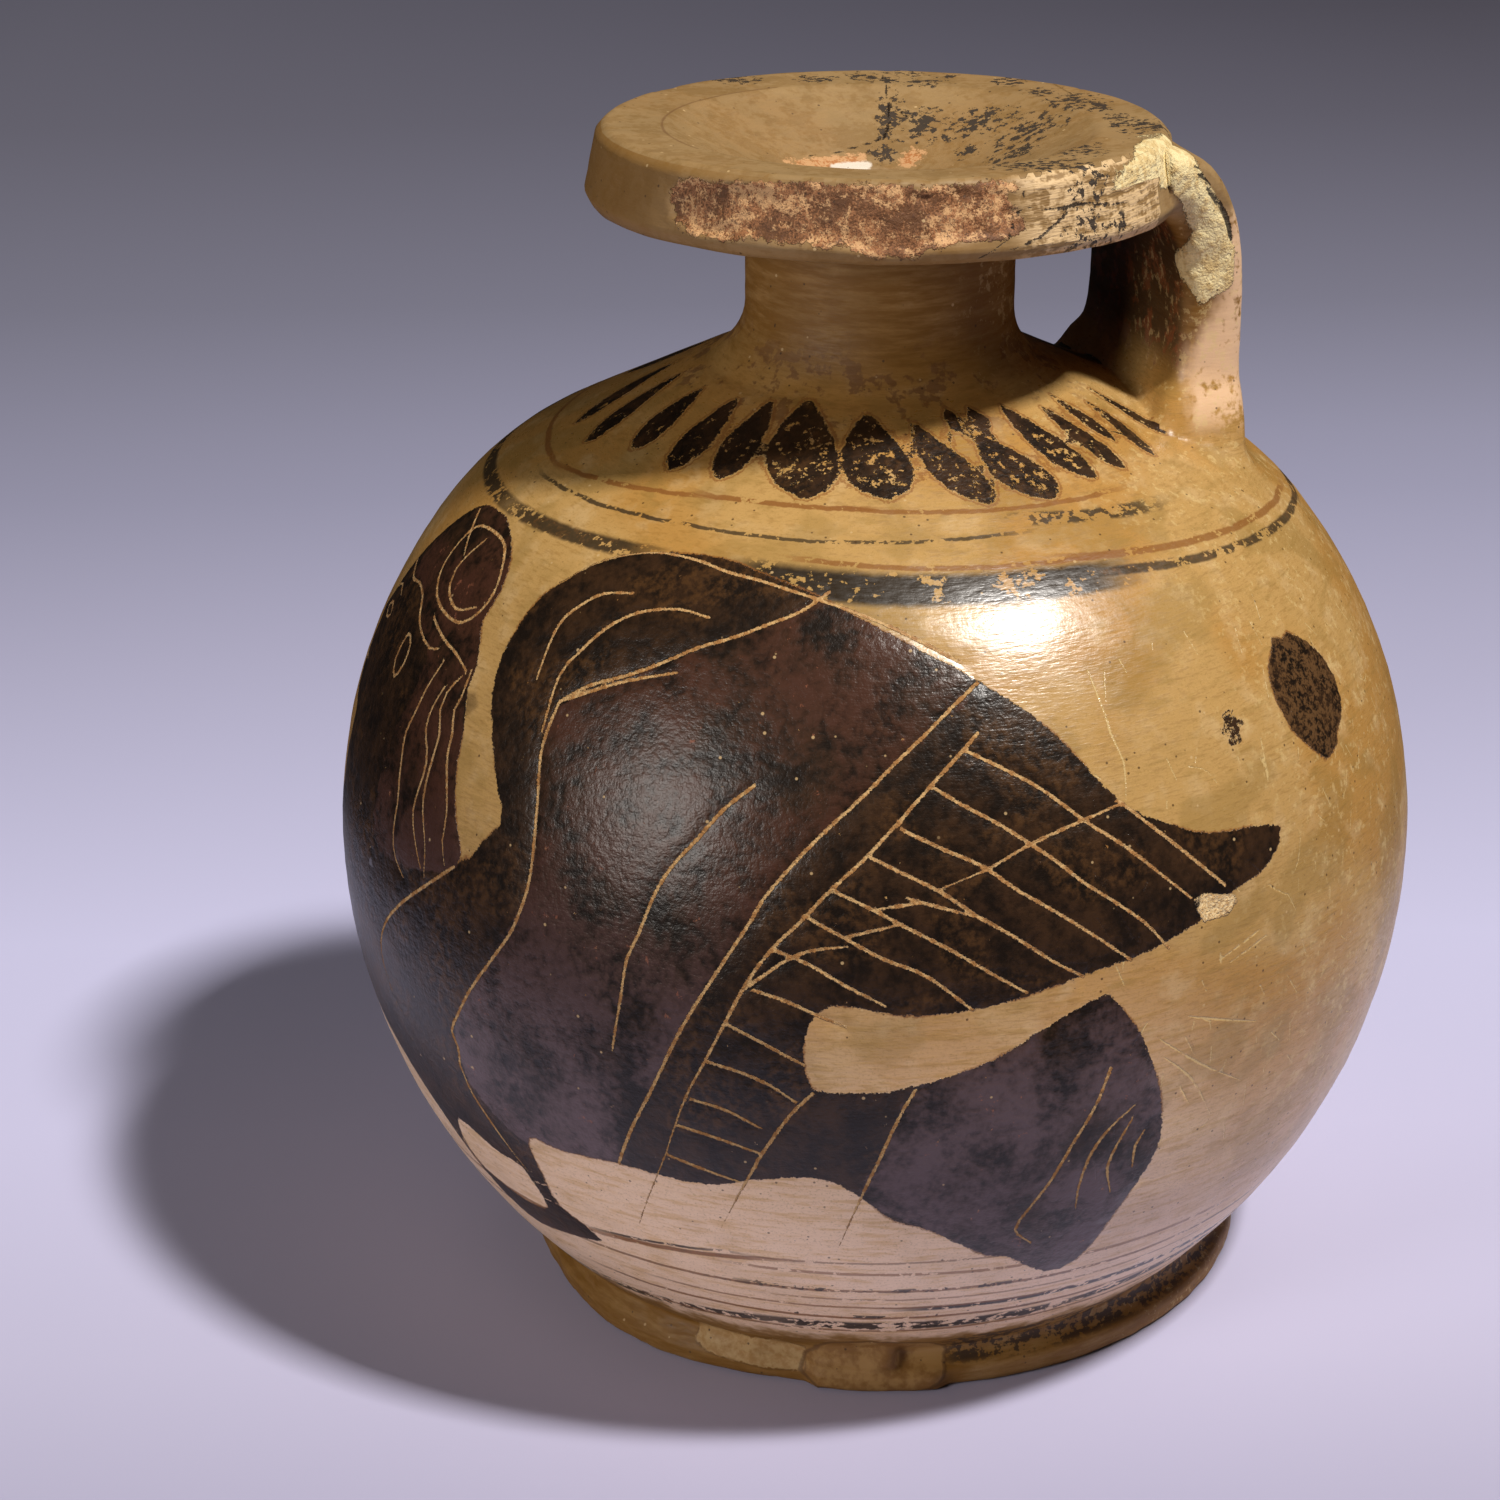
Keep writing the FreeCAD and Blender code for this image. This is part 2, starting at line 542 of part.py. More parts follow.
def check_features():
    """Stop if any object of the document failed."""
    for item in doc.Objects:
        if "Invalid" in item.State or "Error" in item.State:
            raise RuntimeError(f"{item.Name} failed: {item.State}")


slope = math.radians(size["shoulder_slope"])
slope_sin, slope_cos, slope_tan = math.sin(slope), math.cos(slope), math.tan(slope)
start = math.radians(size["shoulder_start"])
start_sin, start_cos = math.sin(start), math.cos(start)
curve_gap = size["upper_curve"] - size["shoulder_curve"]
turn_across = size["belly_radius"] - size["upper_curve"] + curve_gap * start_cos
turn_up = size["belly_height"] + curve_gap * start_sin
neck_root = (turn_up + size["shoulder_curve"] * slope_cos
             + (turn_across + size["shoulder_curve"] * slope_sin - size["neck_radius"]) * slope_tan)

fill_sheet()
vessel = doc.addObject("PartDesign::Body", "Vessel")
vessel.Label = NODE
add_body(vessel)
add_foot(vessel)
add_foot_fill(vessel)
add_mouth(vessel)
add_handle(vessel)
add_cavity(vessel)
add_bore(vessel)
add_spall(vessel)
doc.recompute()
check_features()

os.makedirs("parts", exist_ok=True)
for part in (vessel,):
    shape = part.Shape
    if shape.isNull() or not shape.isValid() or len(shape.Solids) != 1:
        raise RuntimeError(f"{part.Label} is not one valid solid")
    shape.exportStep(f"parts/{part.Label}.step")
    box = shape.BoundBox
    print(f"{part.Label}: {box.XLength:.2f} x {box.YLength:.2f} x {box.ZLength:.2f} mm,"
          f" {shape.Volume / 1000:.1f} cm3, {len(shape.Faces)} faces")
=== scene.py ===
import math

import bmesh
import bpy
import numpy as np
from mathutils import Matrix, Vector, geometry, kdtree, noise


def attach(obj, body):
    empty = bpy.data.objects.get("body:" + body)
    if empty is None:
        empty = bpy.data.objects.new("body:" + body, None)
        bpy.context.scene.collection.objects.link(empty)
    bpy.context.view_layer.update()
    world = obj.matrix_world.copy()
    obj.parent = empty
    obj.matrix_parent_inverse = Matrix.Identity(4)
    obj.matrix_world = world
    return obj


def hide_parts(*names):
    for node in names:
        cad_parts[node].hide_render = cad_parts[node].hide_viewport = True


# A footed round aryballos with a siren in black glaze, added purple-red and incised lines.
# Lengths are millimetres until a mesh is made.  A point on the body is (t, z): t is the angle
# in degrees round from the flask's front, opposite the handle, and z the height above the table.

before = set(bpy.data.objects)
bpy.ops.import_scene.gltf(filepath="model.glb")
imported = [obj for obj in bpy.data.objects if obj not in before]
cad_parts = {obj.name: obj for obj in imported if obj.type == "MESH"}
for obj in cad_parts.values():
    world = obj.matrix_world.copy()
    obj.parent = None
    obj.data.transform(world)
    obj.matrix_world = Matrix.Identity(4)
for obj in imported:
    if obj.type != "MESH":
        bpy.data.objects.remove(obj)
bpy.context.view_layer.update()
MM = 0.001
RING = 320
FRONT = 180.0

# Outline of the body, the same sizes as in the solid model.
BELLY_R, BELLY_Z = 52.0, 44.5
LOWER_ARC, UPPER_ARC, TURN_ARC = 56.0, 50.0, 25.0
WALL = 5.0
TURN_START, SLOPE = math.radians(39.0), math.radians(26.0)
TURN_X = BELLY_R - UPPER_ARC + (UPPER_ARC - TURN_ARC) * math.cos(TURN_START)
TURN_Z = BELLY_Z + (UPPER_ARC - TURN_ARC) * math.sin(TURN_START)
ARC_END_Z = TURN_Z + TURN_ARC * math.sin(TURN_START)
CONE_Z = TURN_Z + TURN_ARC * math.cos(SLOPE)
CONE_X = TURN_X + TURN_ARC * math.sin(SLOPE)

# Neck and mouth plate, about an axis that is tipped and set off towards the handle.
NECK_R, NECK_BLEND = 12.5, 6.0
PIVOT_Z = CONE_Z + (CONE_X - NECK_R) * math.tan(SLOPE)
NECK_OFFSET = 0.4
MOUTH_TILT, MOUTH_AZIMUTH = math.radians(2.3), math.radians(54.0)
NECK_LENGTH, PLATE_H, PLATE_R, PLATE_TAPER = 13.3, 7.0, 27.5, 1.4
PLATE_BLEND, PLATE_EDGE = 2.5, 0.8
RIM_W, RIM_FALL, DISH_DEPTH = 7.0, 0.4, 5.6
BORE_R, BORE_LIP = 6.5, 1.2
UNDER_Z = PIVOT_Z + NECK_LENGTH
TOP_Z = UNDER_Z + PLATE_H

# Foot ring; the hollow moulding is an arc about a point outside it.
FOOT_R, FOOT_IN_R, FOOT_OFF = 36.0, 29.0, 1.3
FOOT_LIP, FOOT_EDGE, FOOT_COVE, FOOT_H = 2.0, 0.5, 2.5, 6.3
COVE_X, COVE_Z = 36.99, 4.294
UNDERSIDE_Z, FLOOR_THICK = 3.0, 5.5
FLOOR_Z = UNDERSIDE_Z + FLOOR_THICK

# Strap handle: its straight stretch lies between the root's flare and the bend.
STRAP_REACH, STRAP_THICK, STRAP_WIDTH, STRAP_ROUND = 32.0, 6.3, 25.0, 1.9
STRAP_BEND, STRAP_ARCH, STRAP_DROP, STRAP_END_FLARE, STRAP_STRAIGHT = 9.5, 14.0, 0.9, 3.0, 6.9
ROOT_FLARE, ROOT_INSET, ROOT_RISE = 4.0, 6.0, 11.0
ROOT_SHARES = (1.0, 0.35, 0.06)


def srgb(red, green, blue):
    """A colour given as 0-255 display values, as the shader wants it."""
    def linear(value):
        share = value / 255
        return share / 12.92 if share <= 0.04045 else ((share + 0.055) / 1.055) ** 2.4
    return (linear(red), linear(green), linear(blue), 1.0)


def body_radius(z, inset=0.0):
    """Radius of the body at a height, set in by a thickness."""
    z = np.asarray(z, float)
    low = BELLY_R - LOWER_ARC + np.sqrt(np.maximum((LOWER_ARC - inset) ** 2 - (BELLY_Z - z) ** 2, 0))
    high = BELLY_R - UPPER_ARC + np.sqrt(np.maximum((UPPER_ARC - inset) ** 2 - (z - BELLY_Z) ** 2, 0))
    turn = TURN_X + np.sqrt(np.maximum((TURN_ARC - inset) ** 2 - (z - TURN_Z) ** 2, 0))
    cone = NECK_R + (PIVOT_Z - inset / math.cos(SLOPE) - z) / math.tan(SLOPE)
    arc_end = ARC_END_Z - inset * math.sin(TURN_START)
    cone_start = CONE_Z - inset * math.cos(SLOPE)
    return np.where(z < BELLY_Z, low, np.where(z < arc_end, high, np.where(z < cone_start, turn, cone)))


def smooth(points, step, closed=False):
    """A Catmull-Rom curve through points, with a new point about every step."""
    p = np.asarray(points, float)
    if closed:
        p = np.vstack([p[-1:], p, p[:2]])
    else:
        p = np.vstack([2 * p[:1] - p[1:2], p, 2 * p[-1:] - p[-2:-1]])
    out = []
    for a, b, c, d in zip(p, p[1:], p[2:], p[3:]):
        count = max(1, int(round(np.linalg.norm((c - b)[:2]) / step)))
        for s in np.arange(count) / count:
            out.append(0.5 * ((2 * b) + (c - a) * s + (2 * a - 5 * b + 4 * c - d) * s ** 2
                              + (3 * b - a - 3 * c + d) * s ** 3))
    if not closed:
        out.append(p[-2])
    return np.array(out)


def mirrored(points):
    """The same shape on the far side of the siren's head."""
    return [(MIRROR_T - t, z) for t, z in points]


# The siren, facing left, its near wing spread to the right.  MIRROR_T places the far wing.
MIRROR_T = -9.0
BODY_AND_WING = (
    (25.5, 54.5), (29, 57.5), (31, 59.5), (30.8, 61), (29.5, 62.2), (28, 64.5), (26, 67), (24.5, 69),
    (23.5, 71.5), (23.6, 73.5), (24.7, 76.6), (28.2, 79), (32, 80.6), (39, 81.7), (49, 82), (55.6, 81.5),
    (65.5, 80.2), (75.3, 77.7), (84, 74.8), (91.6, 70.7), (98, 64.6), (102.8, 62.1), (108, 60.2),
    (113, 59.6), (117.6, 58.5), (115.3, 56), (110, 54.8), (105, 53), (99.6, 51.7), (91.4, 50.5),
    (84, 49), (76, 48.4), (68.2, 49.3), (66, 47), (65.6, 45), (66.4, 41.2), (70.3, 41), (74.5, 41.3),
    (82.8, 43.5), (90, 47), (95, 48.6), (96.5, 47), (99, 43.3), (101.5, 37), (102.2, 31), (99.2, 24.4),
    (96.2, 18.2), (92.5, 17.3), (87, 20.7), (84.6, 21.2), (78, 25.3), (74.2, 26.7), (71, 29.5),
    (67.4, 31.5), (61.3, 31), (54.8, 29.4), (45.3, 29.6), (38, 29), (33.3, 28.9), (33.5, 24.4),
    (34, 20.5), (37, 18.8), (38.5, 17.2), (33.4, 16), (25.3, 14.6), (21.4, 16), (18.4, 18.6), (16, 23),
    (11, 27), (4, 30), (-5, 33), (-11, 37), (-13.5, 41), (-13, 45.5), (-9, 50), (-4, 52), (12, 51.5),
)
LEG_GAP = ((19.8, 25.7), (26.8, 24.4), (30.3, 24), (31.2, 19), (25, 18.3), (18.4, 20))
HEAD = (
    (25.5, 54), (23.8, 59.5), (22.5, 63), (21.7, 66.3), (20.2, 68.5), (20, 70.6), (18.7, 72.1),
    (17.1, 73.6), (17.2, 76.2), (15, 78.2), (11, 79.4), (5, 80), (-2.3, 79.4), (-6.5, 77), (-9.5, 74),
    (-11.5, 71.2), (-12.6, 69), (-14.6, 66.6), (-13.2, 65.4), (-13.8, 63.8), (-12.8, 62.6),
    (-13, 61), (-11.6, 59.4), (-8.5, 58.6), (-7.4, 56.5), (-8, 53), (-4, 49), (14, 49),
)
FAR_WING = BODY_AND_WING[:32] + ((62, 44), (52, 42), (40, 41), (25, 45), (20, 50))
BLOT = (
    (126.4, 72.5), (128.2, 72), (129.7, 72.3), (132.3, 71), (134.5, 69.1), (135.2, 67.1), (134.8, 65.2),
    (132.9, 63.8), (131.4, 63.3), (130.7, 62.4), (127.7, 61.7), (126.2, 62.9), (124.8, 64), (123.3, 65.5),
    (122.7, 67.1), (122.4, 68.8), (123.4, 70.7), (124.8, 71.5),
)
SPLASH = (
    (113.5, 68.9), (114.4, 68.4), (115.3, 69), (115.2, 68.2), (116.2, 67.7), (115, 67.3), (115.1, 66.3),
    (114.3, 67), (113.4, 66.4), (113.3, 67.2), (112.6, 67.6), (113.4, 68.1),
)
WING_CHIP = (
    (105, 55.1), (106.2, 55.4), (108.2, 54.9), (110.2, 54.4), (110.4, 53.7), (109, 52.7), (107.5, 52.9),
    (106, 52.8), (105.2, 54.1),
)
SCRATCHES = (
    ((97.7, 74.8), (98.4, 71.5), (98.6, 69.8), (99.4, 67.5), (98.8, 64.5)),
    ((100.8, 43), (106, 39.2), (111.8, 35.7)), ((101.5, 41), (105, 38), (108.5, 33)),
    ((113.1, 50.4), (107.7, 49)), ((114, 49.6), (109, 48.4)), ((104, 44.5), (113, 41.5)),
    ((109.5, 55.9), (110.8, 54.5)), ((118, 66), (117.3, 62.5)), ((95.6, 56.8), (98.4, 52)),
)

# Added purple-red: the coverts, the hair and the tail.
COVERTS = (
    (34.6, 70), (46, 74.6), (58.9, 78.4), (66, 80.4), (75, 77.8), (84, 74.6), (74.6, 69.2), (67, 63.6),
    (61.6, 58.3), (57.8, 52.4), (54, 46.3), (50.4, 39.2), (47.5, 34), (45.3, 29), (36, 27), (27, 31),
    (24.8, 36), (25.9, 40), (31.4, 47), (35.8, 55), (35.3, 62.3), (34.3, 66.6),
)
HAIR = HEAD[:13] + ((-7, 76.5), (-8, 72), (-3.2, 72.3), (0.2, 71.8), (2.5, 70.5), (9.1, 69.4), (10, 66),
    (8, 58), (10, 51))
TAIL = (
    (76, 41.3), (82.8, 43.5), (90, 47), (95, 48.6), (99, 43.3), (101.5, 37), (102.2, 31), (99.2, 24.4),
    (96.2, 18.2), (92.5, 17.3), (84.6, 21.2), (78, 25.3), (71, 29.5), (73, 34),
)

# Incised lines: points, extra thinness at the start and at the end.
WING_LINES = (
    (((26.5, 78.2), (31, 80.4), (38, 81.6), (45, 81.7), (51, 81.3), (56.6, 81), (64.5, 80.2), (71.3, 79.2),
      (76.8, 77.9), (82.6, 76)), 0.15, 0.0),
    (((34.6, 70.4), (37.8, 72.1), (42.3, 73.5), (46.4, 74.9), (50.3, 76.3), (54.8, 77.4), (58.9, 78.5),
      (62.5, 79.4), (66, 80.7)), 0.0, 0.0),
    (((34.6, 70.4), (41.7, 72.9), (48.5, 74.4)), 0.0, 0.05),
    (((33.5, 68), (33.3, 72.3), (34.7, 74.1), (37, 76.2), (40.5, 77.8), (45.9, 78.6),
      (50.7, 78.4)), 0.05, 0.05),
    (((30.2, 71.4), (30, 75.4), (31.8, 77.3), (34.5, 78.5), (38.7, 79)), 0.05, 0.05),
    (((59.7, 67), (56.7, 64.9), (54.3, 62.4), (51.8, 59.7), (50.3, 57.1), (49, 53.6), (47.9, 51.2),
      (47.3, 47.3), (46.3, 42.2)), 0.0, 0.05),
    (((84.2, 74.6), (80.6, 72.8), (77.6, 71), (74.6, 69.2), (71.2, 66.7), (67.1, 63.7), (64.4, 61.3),
      (61.6, 58.3), (60, 55.7), (57.8, 52.4), (54, 46.3), (50.4, 39.2), (47.5, 34),
      (45.3, 29.6)), 0.0, 0.0),
    (((83.5, 71), (78.3, 67.5), (74.5, 64.5), (71.3, 61.8), (67.9, 59.1), (65.2, 56.5), (62.4, 53.9),
      (60.2, 50.9), (58.2, 47.2), (56, 42.9), (54, 39.2), (52, 34.4), (50.5, 30.9), (45.7, 22)), 0.0, 0.16),
    (((97.9, 64.6), (103.5, 60.2), (109, 55.5)), 0.0, 0.0),
    (((98.2, 64.3), (94, 63.6), (88.1, 62.3), (83.3, 60.6), (78.4, 59.2)), 0.05, 0.12),
    (((75.3, 58.6), (82, 56.8)), 0.05, 0.1),
    (((72.5, 57.7), (77, 58.2)), 0.08, 0.1),
    (((69.4, 55.3), (74.7, 56.4)), 0.05, 0.1),
    (((60.5, 50.7), (64.1, 53.2), (66.6, 54.1), (69.7, 54.5)), 0.0, 0.08),
)
FEATHER_LINES = (
    ((81.9, 69.8), (85.7, 68.3), (89.8, 66.3), (94, 63.4), (97.6, 61.1), (100.9, 58.5), (104.7, 55.3)),
    ((78.2, 67.2), (81.3, 65.7), (85.1, 63.9), (90, 60.9), (93, 58.6), (96.3, 56.4), (99.2, 54.2),
      (101.8, 51.4)),
    ((74.8, 64.1), (78.5, 62.6), (83, 60.8), (86, 58.8), (89.6, 56.7), (93.7, 54), (97.5, 51.2)),
    ((71.5, 62), (74.7, 60.7), (78.4, 59.1), (82, 56.9), (85.7, 54.8), (89.4, 52.3), (92.5, 50.5)),
    ((68.3, 59.1), (71.9, 57.7), (75.8, 55.9), (80, 53.8), (84.2, 51.3), (86.8, 49.8)),
    ((65.4, 57), (69.2, 55.3), (73, 53.5), (77.2, 51.9), (81.6, 48.6)),
    ((62.6, 53.9), (66.1, 52.8), (68.9, 51.4), (73.3, 49.3)),
    ((60.8, 50.2), (64.3, 49.3), (69.6, 47.3)),
    ((58.2, 46.8), (61.8, 45.3), (65.7, 43.5)),
    ((56.3, 42.9), (59.4, 42.3), (62.3, 41.3), (64.9, 39.7)),
    ((54.3, 38.8), (57.9, 38.2), (61, 36.8)),
    ((52.9, 35.7), (56.9, 35), (61.2, 33.9)),
    ((51.3, 32.1), (55, 31.2), (58.7, 30.3)),
)
TAIL_LINES = (
    (((66.5, 40.8), (64.2, 38.3), (61.5, 34.2), (59.8, 31.1), (55.9, 24)), 0.0, 0.18),
    (((76.2, 41.3), (74.5, 38.1), (72.6, 33.3), (71.3, 30.2), (68.3, 22.2)), 0.0, 0.2),
    (((95.5, 41.3), (94.3, 37.8), (92, 33.4), (90.3, 29.7), (88.5, 26.8), (87.4, 24.3),
      (89.6, 22.1)), 0.0, 0.05),
    (((98.7, 36.8), (96.2, 34.9), (94.4, 32.3), (93.7, 28.7), (93.9, 25.8)), 0.08, 0.1),
    (((98.5, 35.2), (97.2, 32.7), (96.6, 30.2), (97.6, 27)), 0.08, 0.1),
    (((100.2, 33.6), (99.4, 32.1), (99.6, 29.5)), 0.1, 0.12),
)
BODY_LINES = (
    (((25.3, 54.2), (21.2, 51.3), (16.7, 48.1), (12.9, 45), (10.9, 42.6), (10, 40.2), (11.4, 36.3),
      (13.2, 35.2)), 0.0, 0.15),
    (((34.6, 70.4), (34.3, 69), (34.2, 66.6), (35.3, 62.3), (35.9, 58.7), (35.8, 54.9), (34.3, 50.9),
      (31.4, 47), (28.5, 43.5), (25.9, 39.9), (24.3, 37.5), (24.9, 35.9), (24.6, 34)), 0.0, 0.0),
    (((24.6, 34), (25.5, 31), (28.5, 27), (31, 23.8)), 0.05, 0.12),
)
HEAD_LINES = (
    (((-2.3, 79.1), (1, 77.8), (4.2, 76.4)), 0.05, 0.05),
    (((13.4, 68.9), (12.3, 66.6), (11.9, 64.6), (11.3, 62.4), (12.1, 59.8), (13.2, 56.4), (13.3, 53.6),
      (14.3, 51.5), (16.3, 50.3)), 0.05, 0.1),
    (((15.9, 67.7), (15, 65.8), (15.1, 63.9), (17.2, 61.3), (16.7, 56.8), (18.4, 53.9),
      (19.7, 52.3)), 0.05, 0.1),
    (((18.2, 69.2), (16.7, 67.4), (16.6, 65.9), (18, 64.1), (18.1, 62.1), (18.2, 58.3), (20, 54.4),
      (20.4, 51.9)), 0.05, 0.1),
    (((19.4, 70), (19.6, 67.8), (19.2, 66.5), (20.2, 64.7), (20.6, 62.8), (22.7, 58.6), (22.8, 55.9),
      (23.7, 53.8)), 0.05, 0.1),
    (((6.7, 71.4), (11.8, 70.7), (15.3, 70.4), (18.5, 69.7)), 0.0, 0.05),
    (((-10.5, 72.4), (-7, 71.6), (-3.2, 72.1), (0.2, 71.8), (2.5, 70.7), (5.1, 69.9), (9.1, 69.4),
      (11.3, 69.9)), 0.0, 0.05),
    (((-12.2, 67.6), (-10.4, 68.3), (-8.4, 67.7)), 0.05, 0.08),
    (((-12.6, 69.2), (-10.6, 70), (-8, 69.6)), 0.08, 0.08),
    (((-12.9, 62.2), (-11.2, 62.3)), 0.05, 0.1),
)
HEAD_LOOPS = (
    ((1.4, 78.3), (6.6, 78.9), (11.4, 78.7), (14.5, 77.5), (16.2, 75.7), (15.5, 74), (13.3, 72.6),
      (9.4, 72.3),
     (4.1, 72.8), (0.8, 74.3), (0.2, 75.9)),
    ((2, 68.8), (4, 68.4), (4.6, 66.8), (3.4, 65.2), (1.6, 66.4)),
    ((-12.2, 67.5), (-10.4, 66.9), (-8.4, 67.6), (-10.3, 68.2)),
)
INNER_CURL = ((6.4, 78.1), (5.3, 76.8), (4.5, 75.3), (5.5, 74.2), (7.9, 73.4), (11, 73.2), (14.2, 74.1))

# Tongues on the shoulder that the front shows: angle and height of the tip and of the foot, half
# width.  Past them they go on at an even pitch, all of one size.
TONGUES = (
    (-27, 89.4, -14, 84.8, 1.5), (-11, 89.6, -1, 84.9, 1.5), (8, 89.9, 13, 86, 1.7),
    (25, 90.2, 27.2, 85.8, 1.8), (37.5, 90.5, 39.5, 86, 1.9), (50, 90.9, 58.5, 85.6, 3.4),
    (69.5, 90.3, 74.7, 85.7, 3.1), (83, 89.8, 93.8, 85.1, 2.1), (94.5, 90.4, 96, 89, 0.9),
    (102, 90.3, 103, 89, 0.9), (99.5, 88.8, 106, 84.8, 2.5), (113, 90, 118, 85.2, 1.7),
    (125.6, 89.3, 126.8, 85.1, 1.2), (134, 89.6, 133.5, 86.4, 0.8), (142.6, 88.4, 137.8, 84.9, 0.9),
    (151.7, 88.6, 149, 85, 0.8),
)
FAR_TONGUE = (90.0, 85.6, 1.9)
FAR_TONGUE_PITCH = 16.0

# How much thinner the feathers' lines and the scratches get at the end, and the far wing's lowest line.
FEATHER_END, SCRATCH_ENDS = 0.04, (0.05, 0.08)
FAR_WING_LOW = 46

PIVOT = np.array([NECK_OFFSET, 0.0, PIVOT_Z])
TILT_AXIS = Vector((-math.sin(MOUTH_AZIMUTH), math.cos(MOUTH_AZIMUTH), 0))
TIP = np.array(Matrix.Rotation(MOUTH_TILT, 3, TILT_AXIS))
CONE_ANGLE = math.pi / 2 - SLOPE
TURN_S = UPPER_ARC * TURN_START
CONE_S = TURN_S + TURN_ARC * (CONE_ANGLE - TURN_START)
RING_ANGLE = np.arange(RING) * 2 * math.pi / RING
# Distances are worked out this near to a path, in millimetres; the rest counts as far away.
REACH, FAR = 4.0, 9.0


def profile(s):
    """Radius, height and outward normal of the body at an arc length up from the belly."""
    s = np.asarray(s, float)
    case = [s < 0, s < TURN_S]
    turned = np.minimum(TURN_START + (s - TURN_S) / TURN_ARC, CONE_ANGLE)
    angle = np.select(case, [s / LOWER_ARC, s / UPPER_ARC], turned)
    arc = np.select(case, [LOWER_ARC, UPPER_ARC], TURN_ARC)
    x0 = np.select(case, [BELLY_R - LOWER_ARC, BELLY_R - UPPER_ARC], TURN_X)
    z0 = np.where(s < TURN_S, BELLY_Z, TURN_Z)
    cone = np.maximum(s - CONE_S, 0)
    normal = np.stack([np.cos(angle), np.sin(angle)])
    radius = x0 + arc * normal[0] - cone * math.cos(SLOPE)
    return radius, z0 + arc * normal[1] + cone * math.sin(SLOPE), normal


def arc_length(r, z):
    """Arc length up from the belly, and the distance outside the outline, of points near the body."""
    circles = ((BELLY_R - LOWER_ARC, BELLY_Z, LOWER_ARC), (BELLY_R - UPPER_ARC, BELLY_Z, UPPER_ARC),
               (TURN_X, TURN_Z, TURN_ARC))
    lower, upper, turn = (np.arctan2(z - up, r - across) for across, up, _ in circles)
    along = (TURN_X + TURN_ARC * math.cos(CONE_ANGLE) - r) * math.cos(SLOPE) + (z - CONE_Z) * math.sin(SLOPE)
    out = (r - CONE_X) * math.sin(SLOPE) + (z - CONE_Z) * math.cos(SLOPE)
    case = [z < BELLY_Z, upper < TURN_START, turn < CONE_ANGLE]
    s = np.select(case, [LOWER_ARC * lower, UPPER_ARC * upper, TURN_S + TURN_ARC * (turn - TURN_START)],
                  CONE_S + along)
    gap = np.select(case, [np.hypot(z - up, r - across) - arc for across, up, arc in circles], out)
    return s, gap


def flat(points):
    """Body points (t, z) as (t, arc length)."""
    p = np.array(points, float)
    r = body_radius(p[:, 1])
    p[:, 1] = arc_length(r, p[:, 1])[0]
    return p


def per_degree(s):
    """Millimetres along the body for a degree round it."""
    return math.radians(1) * profile(s)[0]


def wander(points, scale, seed=0.0):
    """Smooth noise of about -1 to 1 at points in millimetres."""
    return np.array([noise.noise(Vector((x * scale + seed, y * scale, z * scale))) for x, y, z in points])


def lumps(points, *waves):
    """The sum of several smooth noises, each given as amount, scale and seed."""
    return sum(amount * wander(points, scale, seed) for amount, scale, seed in waves)


def path_distance(a, b, scale, path, thin=(0.0, 0.0), closed=False):
    """Distance from points (a, b) to a path; scale turns a into millimetres, thin is added at the ends."""
    best = np.full(a.shape, FAR)
    path = np.vstack([path, path[:1]]) if closed else path
    reach = REACH / np.maximum(scale, 0.1)
    near = np.flatnonzero((a > path[:, 0].min() - reach) & (a < path[:, 0].max() + reach)
                          & (b > path[:, 1].min() - REACH) & (b < path[:, 1].max() + REACH))
    if not len(near):
        return best
    x, y, k = a[near], b[near], scale[near]
    found = best[near]
    count = len(path) - 1
    for index, (p, q) in enumerate(zip(path, path[1:])):
        px, py = (p[0] - x) * k, p[1] - y
        dx, dy = (q[0] - p[0]) * k, q[1] - p[1]
        share = np.clip(-(px * dx + py * dy) / (dx * dx + dy * dy + 1e-12), 0, 1)
        where = (index + share) / count
        extra = thin[0] * np.maximum(1 - 3 * where, 0) + thin[1] * np.maximum(2.2 * where - 1.2, 0)
        found = np.minimum(found, np.hypot(px + share * dx, py + share * dy) + extra)
    best[near] = found
    return best


def inside(a, b, polygon):
    """Whether points lie in a polygon."""
    result = np.zeros(a.shape, bool)
    for p, q in zip(polygon, np.roll(polygon, -1, axis=0)):
        cross = (p[1] > b) != (q[1] > b)
        at = p[0] + (b - p[1]) * (q[0] - p[0]) / (q[1] - p[1] + 1e-12)
        result ^= cross & (a < at)
    return result


def signed(a, b, scale, polygon):
    """Distance to a polygon's edge, positive inside it."""
    away = path_distance(a, b, scale, polygon, closed=True)
    return np.where(inside(a, b, polygon), away, -away)


def greatest(t, s, scale, shapes):
    """The greatest signed distance to any of several shapes."""
    best = np.full(t.shape, -FAR)
    for shape in shapes:
        best = np.maximum(best, signed(t, s, scale, shape))
    return best


def nearest(t, s, scale, paths):
    """The least distance to any of several paths, each given with its thinness."""
    best = np.full(t.shape, FAR)
    for path, thin in paths:
        best = np.minimum(best, path_distance(t, s, scale, path, thin))
    return best


def tongue(t0, z0, t1, z1, half, steps=12):
    """A petal from the neck down the shoulder, pointed above and round below."""
    (t0, s0), (t1, s1) = flat([(t0, z0), (t1, z1)])
    sides = []
    for sign in (-1, 1):
        for step in range(steps + 1):
            share = step / steps
            width = half * (0.12 + math.sin(math.pi * share ** 1.5) ** 0.6) / 1.12
            s = s0 + (s1 - s0) * share
            sides.append((t0 + (t1 - t0) * share + sign * width / float(per_degree(s)), s))
    return np.array(sides[:steps + 1] + sides[:steps:-1])


